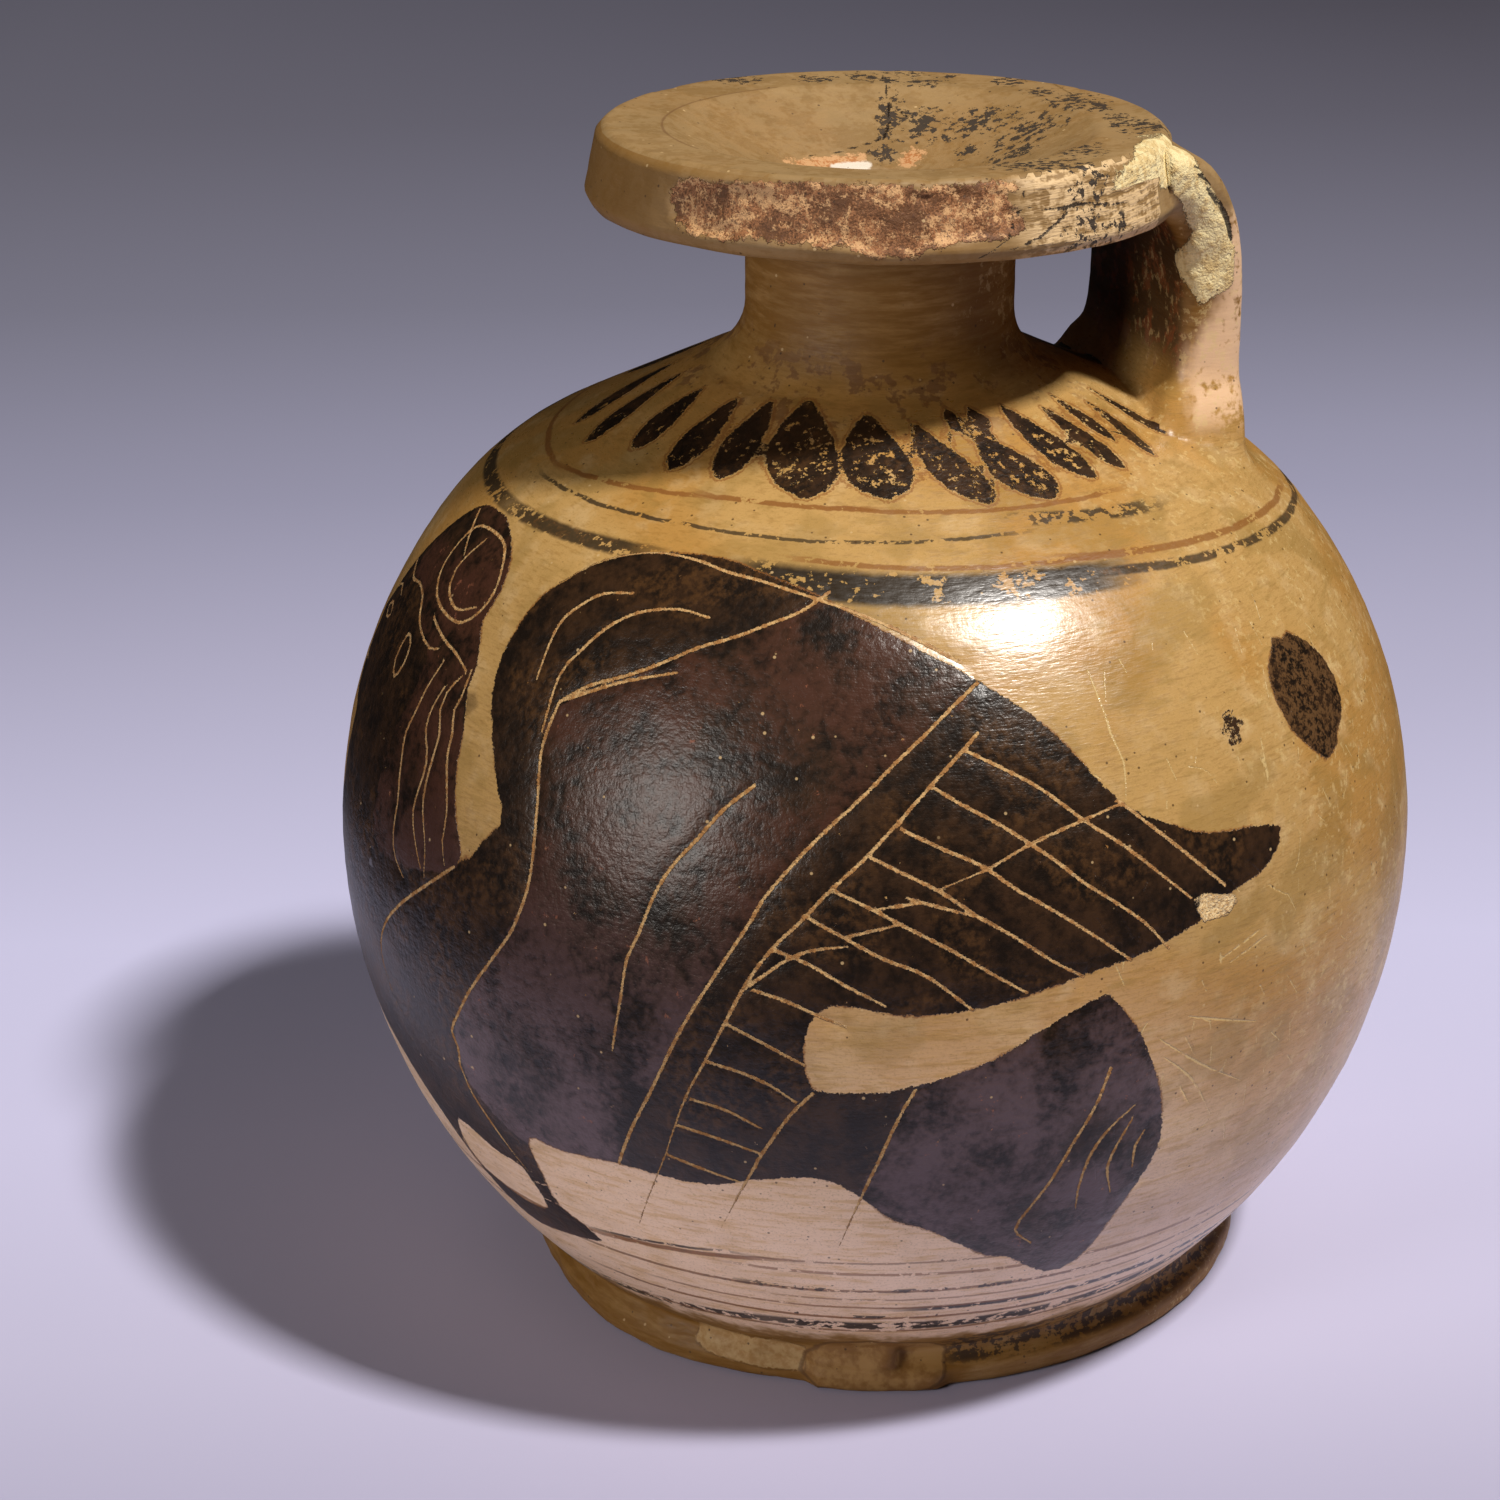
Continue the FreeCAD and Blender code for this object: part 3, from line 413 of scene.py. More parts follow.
def outlines(shapes, step):
    """Closed curves through the points of several shapes, as (t, arc length)."""
    return [smooth(flat(shape), step, True) for shape in shapes]


def far_lines(lines):
    """The far wing's incised lines, which mirror the near one's."""
    out = []
    for points, first, last in lines:
        kept = [point for point in points if point[1] > FAR_WING_LOW]
        if len(kept) > 1:
            out.append((mirrored(kept), first, last))
    return tuple(out)


def small_marks(count=110):
    """Fine scratches scattered over the worn stretch behind the wing."""
    picker = np.random.RandomState(5)
    t, z = picker.uniform(94, 146, count), picker.uniform(28, 76, count)
    slant, drop = picker.normal(0.3, 1.0, count), picker.uniform(0.4, 2.2, count)
    return tuple(zip(zip(t, z), zip(t + slant, z - drop)))


# Every painted shape, cut line and scratch, as (t, arc length).
NEAR_LINES = WING_LINES + tuple((line, 0.0, FEATHER_END) for line in FEATHER_LINES)
CUTS = [(smooth(flat(points), 1.2), (first, last)) for points, first, last in (
    NEAR_LINES + TAIL_LINES + BODY_LINES + HEAD_LINES + ((INNER_CURL, 0.05, 0.05),) + far_lines(NEAR_LINES))]
CUTS += [(np.vstack([loop, loop[:1]]), (0.0, 0.0)) for loop in outlines(HEAD_LOOPS, 1.2)]
GLAZED = outlines((BODY_AND_WING, HEAD, mirrored(FAR_WING), BLOT, SPLASH), 1.6)
BARE = outlines((LEG_GAP,), 1.6)
PURPLE = outlines((COVERTS, HAIR, TAIL), 2.0)
CHIPPED = outlines((WING_CHIP,), 1.2)
WORN = [(smooth(flat(points), 2.0), SCRATCH_ENDS) for points in SCRATCHES + small_marks()]
FAR_ANGLES = np.arange(TONGUES[0][0] - FAR_TONGUE_PITCH, TONGUES[-1][0] - 330, -FAR_TONGUE_PITCH)
PETALS = [tongue(*sizes) for sizes in TONGUES]
PETALS += [tongue(t, FAR_TONGUE[0], t, *FAR_TONGUE[1:]) for t in FAR_ANGLES]


def decor(t, s):
    """Distances to the painted, cut and worn places; those to shapes are positive inside them."""
    scale = per_degree(s)
    glaze, bare, petal, purple, chip = (
        greatest(t, s, scale, shapes) for shapes in (GLAZED, BARE, PETALS, PURPLE, CHIPPED))
    return {"glaze": np.minimum(glaze, -bare), "petal": petal, "purple": purple, "chalk": chip,
            "cut": nearest(t, s, scale, CUTS), "scratch": nearest(t, s, scale, WORN)}


# The sheet of the body: its lower and upper edge, the distance between its points, the share by
# which degrees are squeezed in it, and how far the rows beside a cut line lie.
SHEET_LOW_Z = 7.0
SHEET_BOTTOM = float(arc_length(body_radius(SHEET_LOW_Z), np.array(SHEET_LOW_Z))[0])
FILLET_X = NECK_R + NECK_BLEND * (1 - math.sin(SLOPE))
FILLET_Z = PIVOT_Z - (FILLET_X - NECK_R) * math.tan(SLOPE)
SHEET_TOP = float(arc_length(np.array(FILLET_X), np.array(FILLET_Z))[0])
SPACING, SQUEEZE, SIDE_ROW = 1.35, 0.9, 0.34
CUT_DEPTH, CHIP_DEPTH, GLAZE_RISE = 0.07, 0.25, 0.03


def search_tree(points):
    """A search tree over flat points."""
    tree = kdtree.KDTree(len(points))
    for index, (x, y) in enumerate(points):
        tree.insert((x, y, 0), index)
    tree.balance()
    return tree


def sheet_points():
    """The sheet's points in (t * SQUEEZE, arc length) and the edges that it must keep."""
    points, edges = [], []

    def add(path, closed=False):
        """Add a path and its edges."""
        first = len(points)
        points.extend((float(t) * SQUEEZE, float(s)) for t, s in path)
        count = len(path)
        edges.extend((first + i, first + i + 1) for i in range(count - 1))
        if closed:
            edges.append((first + count - 1, first))

    for shape in GLAZED + BARE + PETALS + PURPLE + CHIPPED:
        add(shape, True)
    for path, _ in WORN + CUTS:
        add(path)
        step = np.gradient(path, axis=0)
        scale = per_degree(path[:, 1])
        across = np.stack([-step[:, 1] / scale, step[:, 0] * scale], axis=1)
        across /= np.hypot(across[:, 0] * scale, across[:, 1])[:, None]
        for side in (-SIDE_ROW, SIDE_ROW):
            add(path + side * across)
    columns = np.linspace(SHEET_BOTTOM, SHEET_TOP, 90)
    around_it = -180 + np.arange(RING + 1) * 360 / RING
    for s in (SHEET_BOTTOM, SHEET_TOP):
        add([(t, s) for t in around_it])
    for t in (-180, 180):
        add([(t, s) for s in columns])
    crowd = search_tree(points)
    rows = int((SHEET_TOP - SHEET_BOTTOM) / (SPACING * 0.87))
    for row in range(1, rows):
        s = SHEET_BOTTOM + (SHEET_TOP - SHEET_BOTTOM) * row / rows
        count = max(90, int(360 * float(per_degree(s)) / SPACING))
        for column in range(count):
            t = -180 + (column + 0.5 + 0.5 * (row % 2)) * 360 / (count + 1)
            if crowd.find((t * SQUEEZE, s, 0))[2] > SPACING * 0.55:
                points.append((t * SQUEEZE, s))
    return points, edges


class Shell:
    """Points and faces of a mesh in millimetres."""

    def __init__(self):
        self.points = []
        self.faces = []

    def add_points(self, points):
        """Add points and return their first index."""
        first = len(self.points)
        self.points.extend(map(tuple, points))
        return first

    def strip(self, rows, fan=None):
        """Join rings of points in order; the last may close on a centre point."""
        starts = [self.add_points(row) for row in rows]
        size = len(rows[0])
        for low, high in zip(starts, starts[1:]):
            for i in range(size):
                j = (i + 1) % size
                self.faces.append((low + i, low + j, high + j, high + i))
        if fan is not None:
            centre = self.add_points([fan])
            for i in range(size):
                self.faces.append((starts[-1] + i, starts[-1] + (i + 1) % size, centre))

    def build(self, name, weld):
        """The closed mesh as an object, its faces turned outwards."""
        mesh = bpy.data.meshes.new(name)
        mesh.from_pydata([tuple(c * MM for c in p) for p in self.points], [], self.faces)
        work = bmesh.new()
        work.from_mesh(mesh)
        bmesh.ops.remove_doubles(work, verts=work.verts, dist=weld * MM)
        bmesh.ops.triangulate(work, faces=[face for face in work.faces if len(face.verts) > 4])
        bmesh.ops.recalc_face_normals(work, faces=work.faces)
        work.to_mesh(mesh)
        work.free()
        shape = bpy.data.objects.new(name, mesh)
        bpy.context.collection.objects.link(shape)
        return shape


def ring(radius, height, tip):
    """One ring of points; tip is 0 on the body's axis and 1 on the neck's."""
    r = np.broadcast_to(np.asarray(radius, float), (RING,))
    z = np.broadcast_to(np.asarray(height, float), (RING,))
    flat_ring = np.stack([r * np.cos(RING_ANGLE), r * np.sin(RING_ANGLE), z], axis=1)
    tipped = PIVOT + (flat_ring - (0, 0, PIVOT_Z)) @ TIP.T
    return (1 - tip) * flat_ring + tip * tipped


def body_sheet(shell):
    """The outside of the body, with an edge along every painted shape and cut line."""
    points, edges = sheet_points()
    found, _, faces, _, _, _ = geometry.delaunay_2d_cdt([Vector(p) for p in points], edges, [], 0, 1e-4)
    flat_points = np.array([(p[0] / SQUEEZE, p[1]) for p in found])
    t, s = flat_points[:, 0], np.clip(flat_points[:, 1], SHEET_BOTTOM, SHEET_TOP)
    r, z, normal = profile(s)
    turn = np.radians(FRONT + t)
    place = np.stack([r * np.cos(turn), r * np.sin(turn), z], axis=1)
    painted = decor(t, s)
    edge = np.clip(np.minimum(s - SHEET_BOTTOM, SHEET_TOP - s) / 2, 0, 1)
    lift = -CUT_DEPTH * np.clip(1 - painted["cut"] / 0.3, 0, 1)
    lift -= CHIP_DEPTH * np.clip(painted["chalk"] / 0.4, 0, 1)
    lift += GLAZE_RISE * np.clip(np.maximum(painted["glaze"], painted["petal"]) / 0.3, -1, 1)
    lift += lumps(place * (0.3, 0.3, 1.0), (0.05, 0.25, 3.0), (0.04, 0.7, 9.0))
    lift *= edge
    place += (lift * normal[0])[:, None] * np.stack([np.cos(turn), np.sin(turn), 0 * t], axis=1)
    place[:, 2] += lift * normal[1]
    first = shell.add_points(place)
    shell.faces.extend(tuple(first + i for i in face) for face in faces)


def foot_radius(z):
    """Radius of the foot ring about its own axis."""
    cove = COVE_X - math.sqrt(max(FOOT_COVE ** 2 - (z - COVE_Z) ** 2, 0))
    return FOOT_R if z < FOOT_LIP else cove


def off_centre(radius):
    """Distance from the body's axis of a circle about the foot's axis."""
    return FOOT_OFF * np.cos(RING_ANGLE) + np.sqrt(radius ** 2 - (FOOT_OFF * np.sin(RING_ANGLE)) ** 2)


def around(azimuth, half, soft):
    """1 within an arc of the ring, falling to 0 over a soft edge, in degrees."""
    away = np.abs((np.degrees(RING_ANGLE) - azimuth + 180) % 360 - 180)
    return np.clip((half - away) / soft, 0, 1)


# The old fill of the foot's moulding: its radius, and how deep the foot's face is worn back.
FILL_R, FACE_WORN = 35.6, 0.08


def foot_rows():
    """Rings from the sheet's lower edge round the foot to the underside."""
    rows = [ring(*profile(SHEET_BOTTOM)[:2], 0)]
    slope = around(-152, 22, 6)
    fill = np.maximum(around(-124, 23, 3), slope)
    bulge = 1.1 * around(-147, 26, 20) + 0.85 * around(-107, 11, 2)
    for z in np.arange(6.7, FOOT_LIP - 0.01, -0.3):
        foot = off_centre(foot_radius(z)) if z < FOOT_H + 0.2 else np.full(RING, 20.0)
        body = float(body_radius(z))
        spots = ring(FOOT_R, z, 0)
        filled = off_centre(FILL_R) + lumps(spots, (0.35, 0.35, 5.0), (0.2, 1.1, 2.0))
        filled += bulge * max(0.0, 1 - abs(z - 2.6) / 3.4) - slope * 0.45 * (z - FOOT_LIP)
        foot = np.maximum(foot, fill * filled * (z < 6)) + 0.10 * wander(spots, 0.5, 1.0)
        soft = np.maximum(0.5 - np.abs(foot - body), 0) ** 2 / 2
        rows.append(ring(np.maximum(foot, body) + soft, z, 0))
    high, low = (0.12 * wander(spots, 0.4, 7.0) + 0.1 * np.minimum(wander(spots, 1.0, 4.0), 0)
                 for spots in (ring(FOOT_R, z, 0) for z in (FOOT_LIP, 0.0)))
    for z in (1.7, 1.4, 1.1, 0.8, 0.5):
        share = (FOOT_LIP - z) / FOOT_LIP
        rows.append(ring(off_centre(FOOT_R) + (1 - share) * high + share * low + bulge - FACE_WORN, z, 0))
    for inset, z in ((0.2, 0.2), (FOOT_EDGE, 0.0)):
        rows.append(ring(off_centre(FOOT_R - inset) + low + bulge - FACE_WORN, z, 0))
    rows += [ring(off_centre(r), 0.0, 0) for r in (34, 32, 30, FOOT_IN_R + FOOT_EDGE)]
    rows += [ring(off_centre(FOOT_IN_R), z, 0) for z in (0.5, 1.5, UNDERSIDE_Z)]
    rows += [ring(off_centre(r), UNDERSIDE_Z, 0) for r in (26, 21, 16, 11, 6)]
    return rows


# The broken patch on the plate's band: angle and height above the band's foot.
SPALL = (
    (28, 4.4), (31, 5.5), (34, 5.9), (37.5, 5.8), (53, 6.5), (66.5, 6.7), (74, 6.5), (89, 6.6), (98.5, 6.3),
    (95.5, 5.7), (96, 4.6), (100, 3.3), (98.5, 2.3), (94.5, 1.9), (89, 1.9), (82.5, 1.7), (79.5, 1.2),
    (78.5, 0.6), (75, 0.6), (70.5, 0.8), (64.5, 1.6), (58.5, 1.6), (51, 1.5), (47.5, 1.8), (42.5, 1.3),
    (35, 1.4), (30.5, 2.1), (29, 3.4),
)
# Millimetres along the band for a degree round it.
BAND_SCALE = 0.47


def neck_rows():
    """Rings from the sheet's upper edge over the neck and the plate's underside."""
    rows = []
    centre = (NECK_R + NECK_BLEND, FILLET_Z + NECK_BLEND * math.cos(SLOPE))
    for step in range(9):
        share = step / 8
        angle = math.pi + (1 - share) * (math.pi / 2 - SLOPE)
        tip = share * share * (3 - 2 * share)
        rows.append(ring(centre[0] + NECK_BLEND * math.cos(angle), centre[1] + NECK_BLEND * math.sin(angle),
                         tip))
    for z in np.arange(centre[1] + 1, UNDER_Z - PLATE_BLEND, 1.0):
        rows.append(ring(NECK_R + 0.08 * wander(ring(6, z * 3, 1), 0.2, 1.0), z, 1))
    for step in range(7):
        angle = math.pi - step / 6 * math.pi / 2
        rows.append(ring(NECK_R + PLATE_BLEND * (1 + math.cos(angle)),
                         UNDER_Z - PLATE_BLEND * (1 - math.sin(angle)), 1))
    for r in np.linspace(NECK_R + PLATE_BLEND, PLATE_R - PLATE_EDGE, 12)[1:]:
        rows.append(ring(r, UNDER_Z + 0.1 * wander(ring(r, UNDER_Z, 1), 0.3, 8.0), 1))
    return rows


def band_rows():
    """Rings up the plate's edge band, with the broken patch."""
    rows = []
    turn = (np.degrees(RING_ANGLE) - FRONT + 540) % 360 - 180
    for step in range(22):
        share = step / 21
        up = PLATE_EDGE * 0.6 + (PLATE_H - PLATE_EDGE) * share
        spots = ring(PLATE_R, UNDER_Z + up, 1)
        depth = 0.4 + lumps(spots, (0.22, 0.4, 4.0), (0.16, 1.0, 6.0), (0.1, 2.6, 2.0))
        patch = signed(turn, np.full(RING, up), np.full(RING, BAND_SCALE), np.array(SPALL))
        patch += 0.5 * wander(spots, 0.9, 12.0)
        edge = PLATE_EDGE * 0.5 * max(0.0, 1 - min(share, 1 - share) / 0.09)
        radius = PLATE_R - PLATE_TAPER * up / PLATE_H - edge + 0.06 * wander(spots, 0.5, 3.0)
        rows.append(ring(radius - np.clip(patch / 0.5, 0, 1) * np.maximum(depth, 0.12), UNDER_Z + up, 1))
    return rows


def dish_rows():
    """Rings over the plate's rim and dish, down the bore and round the cavity to its floor."""
    rows = []
    chip = np.minimum(wander(ring(25, TOP_Z, 1), 0.5, 21.0) + 0.25, 0)
    rim_out, rim_in = PLATE_R - PLATE_TAPER - PLATE_EDGE, PLATE_R - PLATE_TAPER - RIM_W + 0.6
    for r in np.linspace(rim_out, rim_in, 14):
        share = (rim_out - r) / RIM_W
        uneven = 0.05 * wander(ring(r, TOP_Z, 1), 0.25, 5.0) + 0.5 * max(0.0, 1 - share * 3) * chip
        rows.append(ring(r, TOP_Z - RIM_FALL * share + uneven, 1))
    low, lip_r = TOP_Z - DISH_DEPTH, BORE_R + BORE_LIP
    for step in range(1, 26):
        share = step / 25
        r = rim_in + (lip_r - rim_in) * share
        z = TOP_Z - RIM_FALL + (low - TOP_Z + RIM_FALL) * share
        uneven = 0.15 * math.sin(math.pi * share) + 0.05 * wander(ring(r, z, 1), 0.25, 5.0)
        rows.append(ring(r, z + uneven, 1))
    for step in range(1, 5):
        angle = step / 4 * math.pi / 2
        rows.append(ring(lip_r - BORE_LIP * math.sin(angle), low - BORE_LIP * (1 - math.cos(angle)), 1))
    bore_z = PIVOT_Z - WALL / math.cos(SLOPE) + (NECK_R - BORE_R) * math.tan(SLOPE)
    for step in range(1, 9):
        share = step / 8
        z = low - BORE_LIP + (bore_z - low + BORE_LIP) * share
        rows.append(ring(BORE_R, z, 1 - max(0.0, share * 4 - 3)))
    last_s = CONE_S + (CONE_X - BORE_R - WALL * math.sin(SLOPE)) / math.cos(SLOPE)
    for s in np.linspace(last_s, -60, 60)[1:]:
        r, z, normal = profile(s)
        if z - WALL * normal[1] > FLOOR_Z:
            rows.append(ring(r - WALL * normal[0], z - WALL * normal[1], 0))
    rows += [ring(r, FLOOR_Z, 0) for r in (float(body_radius(FLOOR_Z, WALL)), 26, 20, 14, 8, 4)]
    return rows


def strap_sections():
    """Sections along the strap's middle, from the shoulder up: x, z, turn, thickness and width."""
    middle = STRAP_REACH - STRAP_THICK / 2
    high = TOP_Z - STRAP_DROP - STRAP_THICK / 2
    bend_x, bend_z = middle - STRAP_BEND + STRAP_THICK / 2, STRAP_ARCH - STRAP_THICK / 2
    sections = [(middle - (ROOT_FLARE * 0.75) * s, high - bend_z - STRAP_STRAIGHT - ROOT_RISE * s, 0.0,
                 STRAP_THICK + ROOT_INSET * s, STRAP_WIDTH + 2 * ROOT_FLARE * s) for s in ROOT_SHARES]
    sections.append((middle, high - bend_z, 0.0, STRAP_THICK, STRAP_WIDTH))
    for degrees in (30, 60, 90):
        a = math.radians(degrees)
        turn = math.atan2((middle - bend_x) * math.sin(a), bend_z * math.cos(a))
        sections.append((bend_x + (middle - bend_x) * math.cos(a), high - bend_z + bend_z * math.sin(a), turn,
                         STRAP_THICK, STRAP_WIDTH + 2 * STRAP_END_FLARE * (1 - math.cos(a))))
    return sections


def section_ring(section):
    """Points round one section of the strap: a rectangle with rounded corners."""
    x, z, turn, thick, width = section
    half_t, half_w = thick / 2, width / 2
    flat_t, flat_w = half_t - STRAP_ROUND, half_w - STRAP_ROUND
    out = []
    corners = ((flat_t, flat_w, 0), (-flat_t, flat_w, 90), (-flat_t, -flat_w, 180), (flat_t, -flat_w, 270))
    for index, (a, b, start) in enumerate(corners):
        for step in range(6):
            angle = math.radians(start + step * 18)
            out.append((a + STRAP_ROUND * math.cos(angle), b + STRAP_ROUND * math.sin(angle)))
        last = out[-1]
        c, d, following = corners[(index + 1) % 4]
        angle = math.radians(following)
        goal = (c + STRAP_ROUND * math.cos(angle), d + STRAP_ROUND * math.sin(angle))
        count = 6 if index % 2 == 0 else 22
        for share in np.arange(1, count) / count:
            out.append((last[0] + (goal[0] - last[0]) * share, last[1] + (goal[1] - last[1]) * share))
    p = np.array(out)
    return np.stack([x + p[:, 0] * math.cos(turn), p[:, 1], z + p[:, 0] * math.sin(turn)], axis=1)


# Putty on the strap's near edge, and the slit beside it, as x and z.
PUTTY = (
    (20.9, 112.4), (23.7, 112.6), (25.3, 111.4), (26.1, 109.7), (29.8, 104.3), (30.5, 100.8), (30.3, 98.2),
    (27.3, 96.5), (24.8, 100.5), (25.9, 103.6), (24, 107.1), (22.8, 108.6), (21, 109),
)
SLIT = ((25.7, 109.9), (27.4, 107.4), (29.3, 104.9), (30, 102.6))
# The near edge's y, which the putty covers, and the depth to which the strap's foot is buried.
NEAR_EDGE_Y, BURIAL = -11.0, 2.5


def strap_rings():
    """Rings of the strap from just under the shoulder up into the plate."""
    kept, lowest = [], None
    for section in smooth(np.array(strap_sections()), 0.7):
        row = section_ring(section)
        reach = np.hypot(row[:, 0], row[:, 1])
        skin = PIVOT_Z - (np.clip(reach, 13, None) - NECK_R) * math.tan(SLOPE)
        low = reach > CONE_X
        skin[low] = TURN_Z + np.sqrt(np.maximum(TURN_ARC ** 2 - (reach[low] - TURN_X) ** 2, 0))
        if (row[:, 2] > skin - BURIAL + 0.1).all():
            kept.append(row)
        else:
            lowest = np.column_stack([row[:, :2], skin - BURIAL])
    return [lowest] + kept


def strap_shell(shell):
    """The strap handle with its putty and slit, closed at both ends."""
    out = []
    for row in strap_rings():
        away = row - row.mean(axis=0)
        away /= np.linalg.norm(away, axis=1)[:, None]
        lump = lumps(row, (0.10, 0.25, 2.0), (0.05, 0.8, 5.0))
        near = row[:, 1] < NEAR_EDGE_Y
        patch = signed(row[:, 0], row[:, 2], np.ones(len(row)), np.array(PUTTY))
        lump += near * np.clip(patch / 0.5, 0, 1) * (0.3 + 0.35 * wander(row, 0.6, 8.0))
        groove = path_distance(row[:, 0], row[:, 2], np.ones(len(row)), np.array(SLIT))
        lump -= near * np.clip(1 - groove / 0.5, 0, 1) * 0.6
        out.append(row + away * lump[:, None])
    shell.strip(out[::-1])
    for row, sign in ((out[0], 1), (out[-1], -1)):
        first = shell.add_points(row)
        centre = shell.add_points([row.mean(axis=0)])
        size = len(row)
        for i in range(size):
            shell.faces.append((first + i, first + (i + 1) % size, centre)[::sign])


def joined(first, second):
    """The union of two closed meshes as one object."""
    tool = first.modifiers.new("union", "BOOLEAN")
    tool.operation = "UNION"
    tool.solver = "EXACT"
    tool.object = second
    result = bpy.data.meshes.new_from_object(first.evaluated_get(bpy.context.evaluated_depsgraph_get()))
    shape = bpy.data.objects.new("aryballos_body", result)
    bpy.context.collection.objects.link(shape)
    for old in (first, second):
        bpy.data.objects.remove(old)
    return shape


# The corner of the strap's root that is rounded: half width, reach about the shoulder, and rounds.
ROOT_HALF, ROOT_REACH, ROOT_ROUNDS = 17.5, 2.2, 6


def soften_root(shape):
    """Round the corner where the strap grows from the shoulder."""
    mesh = shape.data
    work = bmesh.new()
    work.from_mesh(mesh)
    bmesh.ops.remove_doubles(work, verts=work.verts, dist=0.02 * MM)
    bmesh.ops.triangulate(work, faces=[face for face in work.faces if len(face.verts) > 4])
    corner = []
    for vert in work.verts:
        x, y, z = vert.co / MM
        if abs(y) < ROOT_HALF and abs(x - 27) < 9 and z < 92:
            gap = abs(float(arc_length(np.array(math.hypot(x, y)), np.array(z))[1]))
            if gap < ROOT_REACH:
                corner.append((vert, 1 - gap / ROOT_REACH))
    for _ in range(ROOT_ROUNDS):
        moved = []
        for vert, share in corner:
            beside = [edge.other_vert(vert).co for edge in vert.link_edges]
            moved.append((vert, vert.co.lerp(sum(beside, Vector()) / len(beside), 0.5 * share)))
        for vert, co in moved:
            vert.co = co
    work.to_mesh(mesh)
    work.free()


# The direction in which the front shows the plate, across and away.
FRONT_COS, FRONT_SIN = 0.962, 0.272


def polar(points):
    """Plate points (t, radius) as x and y on the plate."""
    turned = [(math.radians(FRONT + t), r) for t, r in points]
    return np.array([(r * math.cos(turn), r * math.sin(turn)) for turn, r in turned])


def seen(points):
    """Plate points (right, back) as x and y on the plate."""
    return np.array([(FRONT_COS * a + FRONT_SIN * b, -FRONT_SIN * a + FRONT_COS * b) for a, b in points])


# Remnants of glaze, cracks, chips and putty on the mouth, and a painted highlight on the bore's lip.  On the
# plate a point is (right, back) as the front shows it, or (t, radius); on its band it is (t, height above the
# band's foot).
PLATE_FLAKES = (
    (-13.5, 20.5, 2.2, 1.6), (-5.5, 21.5, 1.8, 1.4), (-1, 23, 1.6, 1.5), (1, 21.5, 1.6, 1.4),
    (3, 24, 1.6, 1.2), (5, 20.5, 1.8, 1.4), (13, 20, 1.4, 1.6), (18.5, 11, 2.2, 3), (20.5, 8.5, 1.4, 2),
    (9.5, 11.5, 3.2, 2), (4.5, 13, 1.6, 2.6), (14, 6.5, 3, 2.8), (12, 2, 2, 2.8), (13.5, -18.5, 4.2, 2.6),
    (16.5, -11, 2.2, 3.6), (23.5, -1.5, 2.2, 3), (1.5, 14, 1.2, 4.2), (0.5, 9, 1.2, 1), (7, 22.5, 1.4, 1),
    (15.5, 15.5, 1.4, 1.4), (8.5, 6.8, 1.4, 1), (21.5, 3, 1.2, 1.6),
)
PLATE_CRACKS = (
    ((251, 25.8), (252, 22.5), (250.5, 18), (249, 14), (251, 11.4), (257, 10.8), (272, 9.9), (286, 9.4),
      (300, 9.8), (318, 10.2)),
    ((250, 17), (244, 15), (238, 14.5)),
)
PLATE_RING = tuple((angle, 20.2) for angle in range(282, 381, 6))
PLATE_RUST = (((262, 9.4), (280, 9.6), (300, 9.8), (322, 10.4), (322, 9.6), (296, 7.2), (264, 7.2)),
              ((224, 9.8), (238, 10.4), (243, 8.6), (240, 7), (228, 7)))
PLATE_GLINT = ((258, 8.4), (275, 8.6), (292, 8.2), (292, 6.6), (275, 6), (258, 6.6))
BAND_CRACKS = (
    ((99.8, 7.2), (98.5, 4.5), (98, 4), (96.5, 2.7), (95, 1.7), (92, 0.9), (86.5, -0.3)),
    ((114.5, 6.9), (111, 4.9), (107.3, 3.2), (102, 1.8), (96.3, 1.0), (92, 0.8)),
    ((96.5, 4.6), (105.5, 3.9), (111.5, 4.1), (123, 3.3), (129, 3.2)),
)
FOOT_FILL = ((44, 4.6), (50, 4.2), (57, 4.4), (62, 4), (62, 1.4), (56, 1.1), (47, 1.6), (43.5, 2.2))
FOOT_LUMP = ((62, 3.4), (66, 5.4), (72, 6), (81, 5.2), (84, 3.6), (83, 1.2), (78, -0.5), (70, -0.5),
    (64, 0.4), (61, 1.6))
BAND_FLAKES = ((107, 1.0), (110, 2.6), (116, 2.8), (122, 2), (124, 1), (119, 0.4), (111, 0.3))
RIM_PUTTY = ((18.2, -20.5), (19.6, -17.6), (21.4, -14.6), (21.9, -10.4), (23.2, -7.6), (25.5, -7),
    (29.5, -8), (29.5, -22), (20, -24))


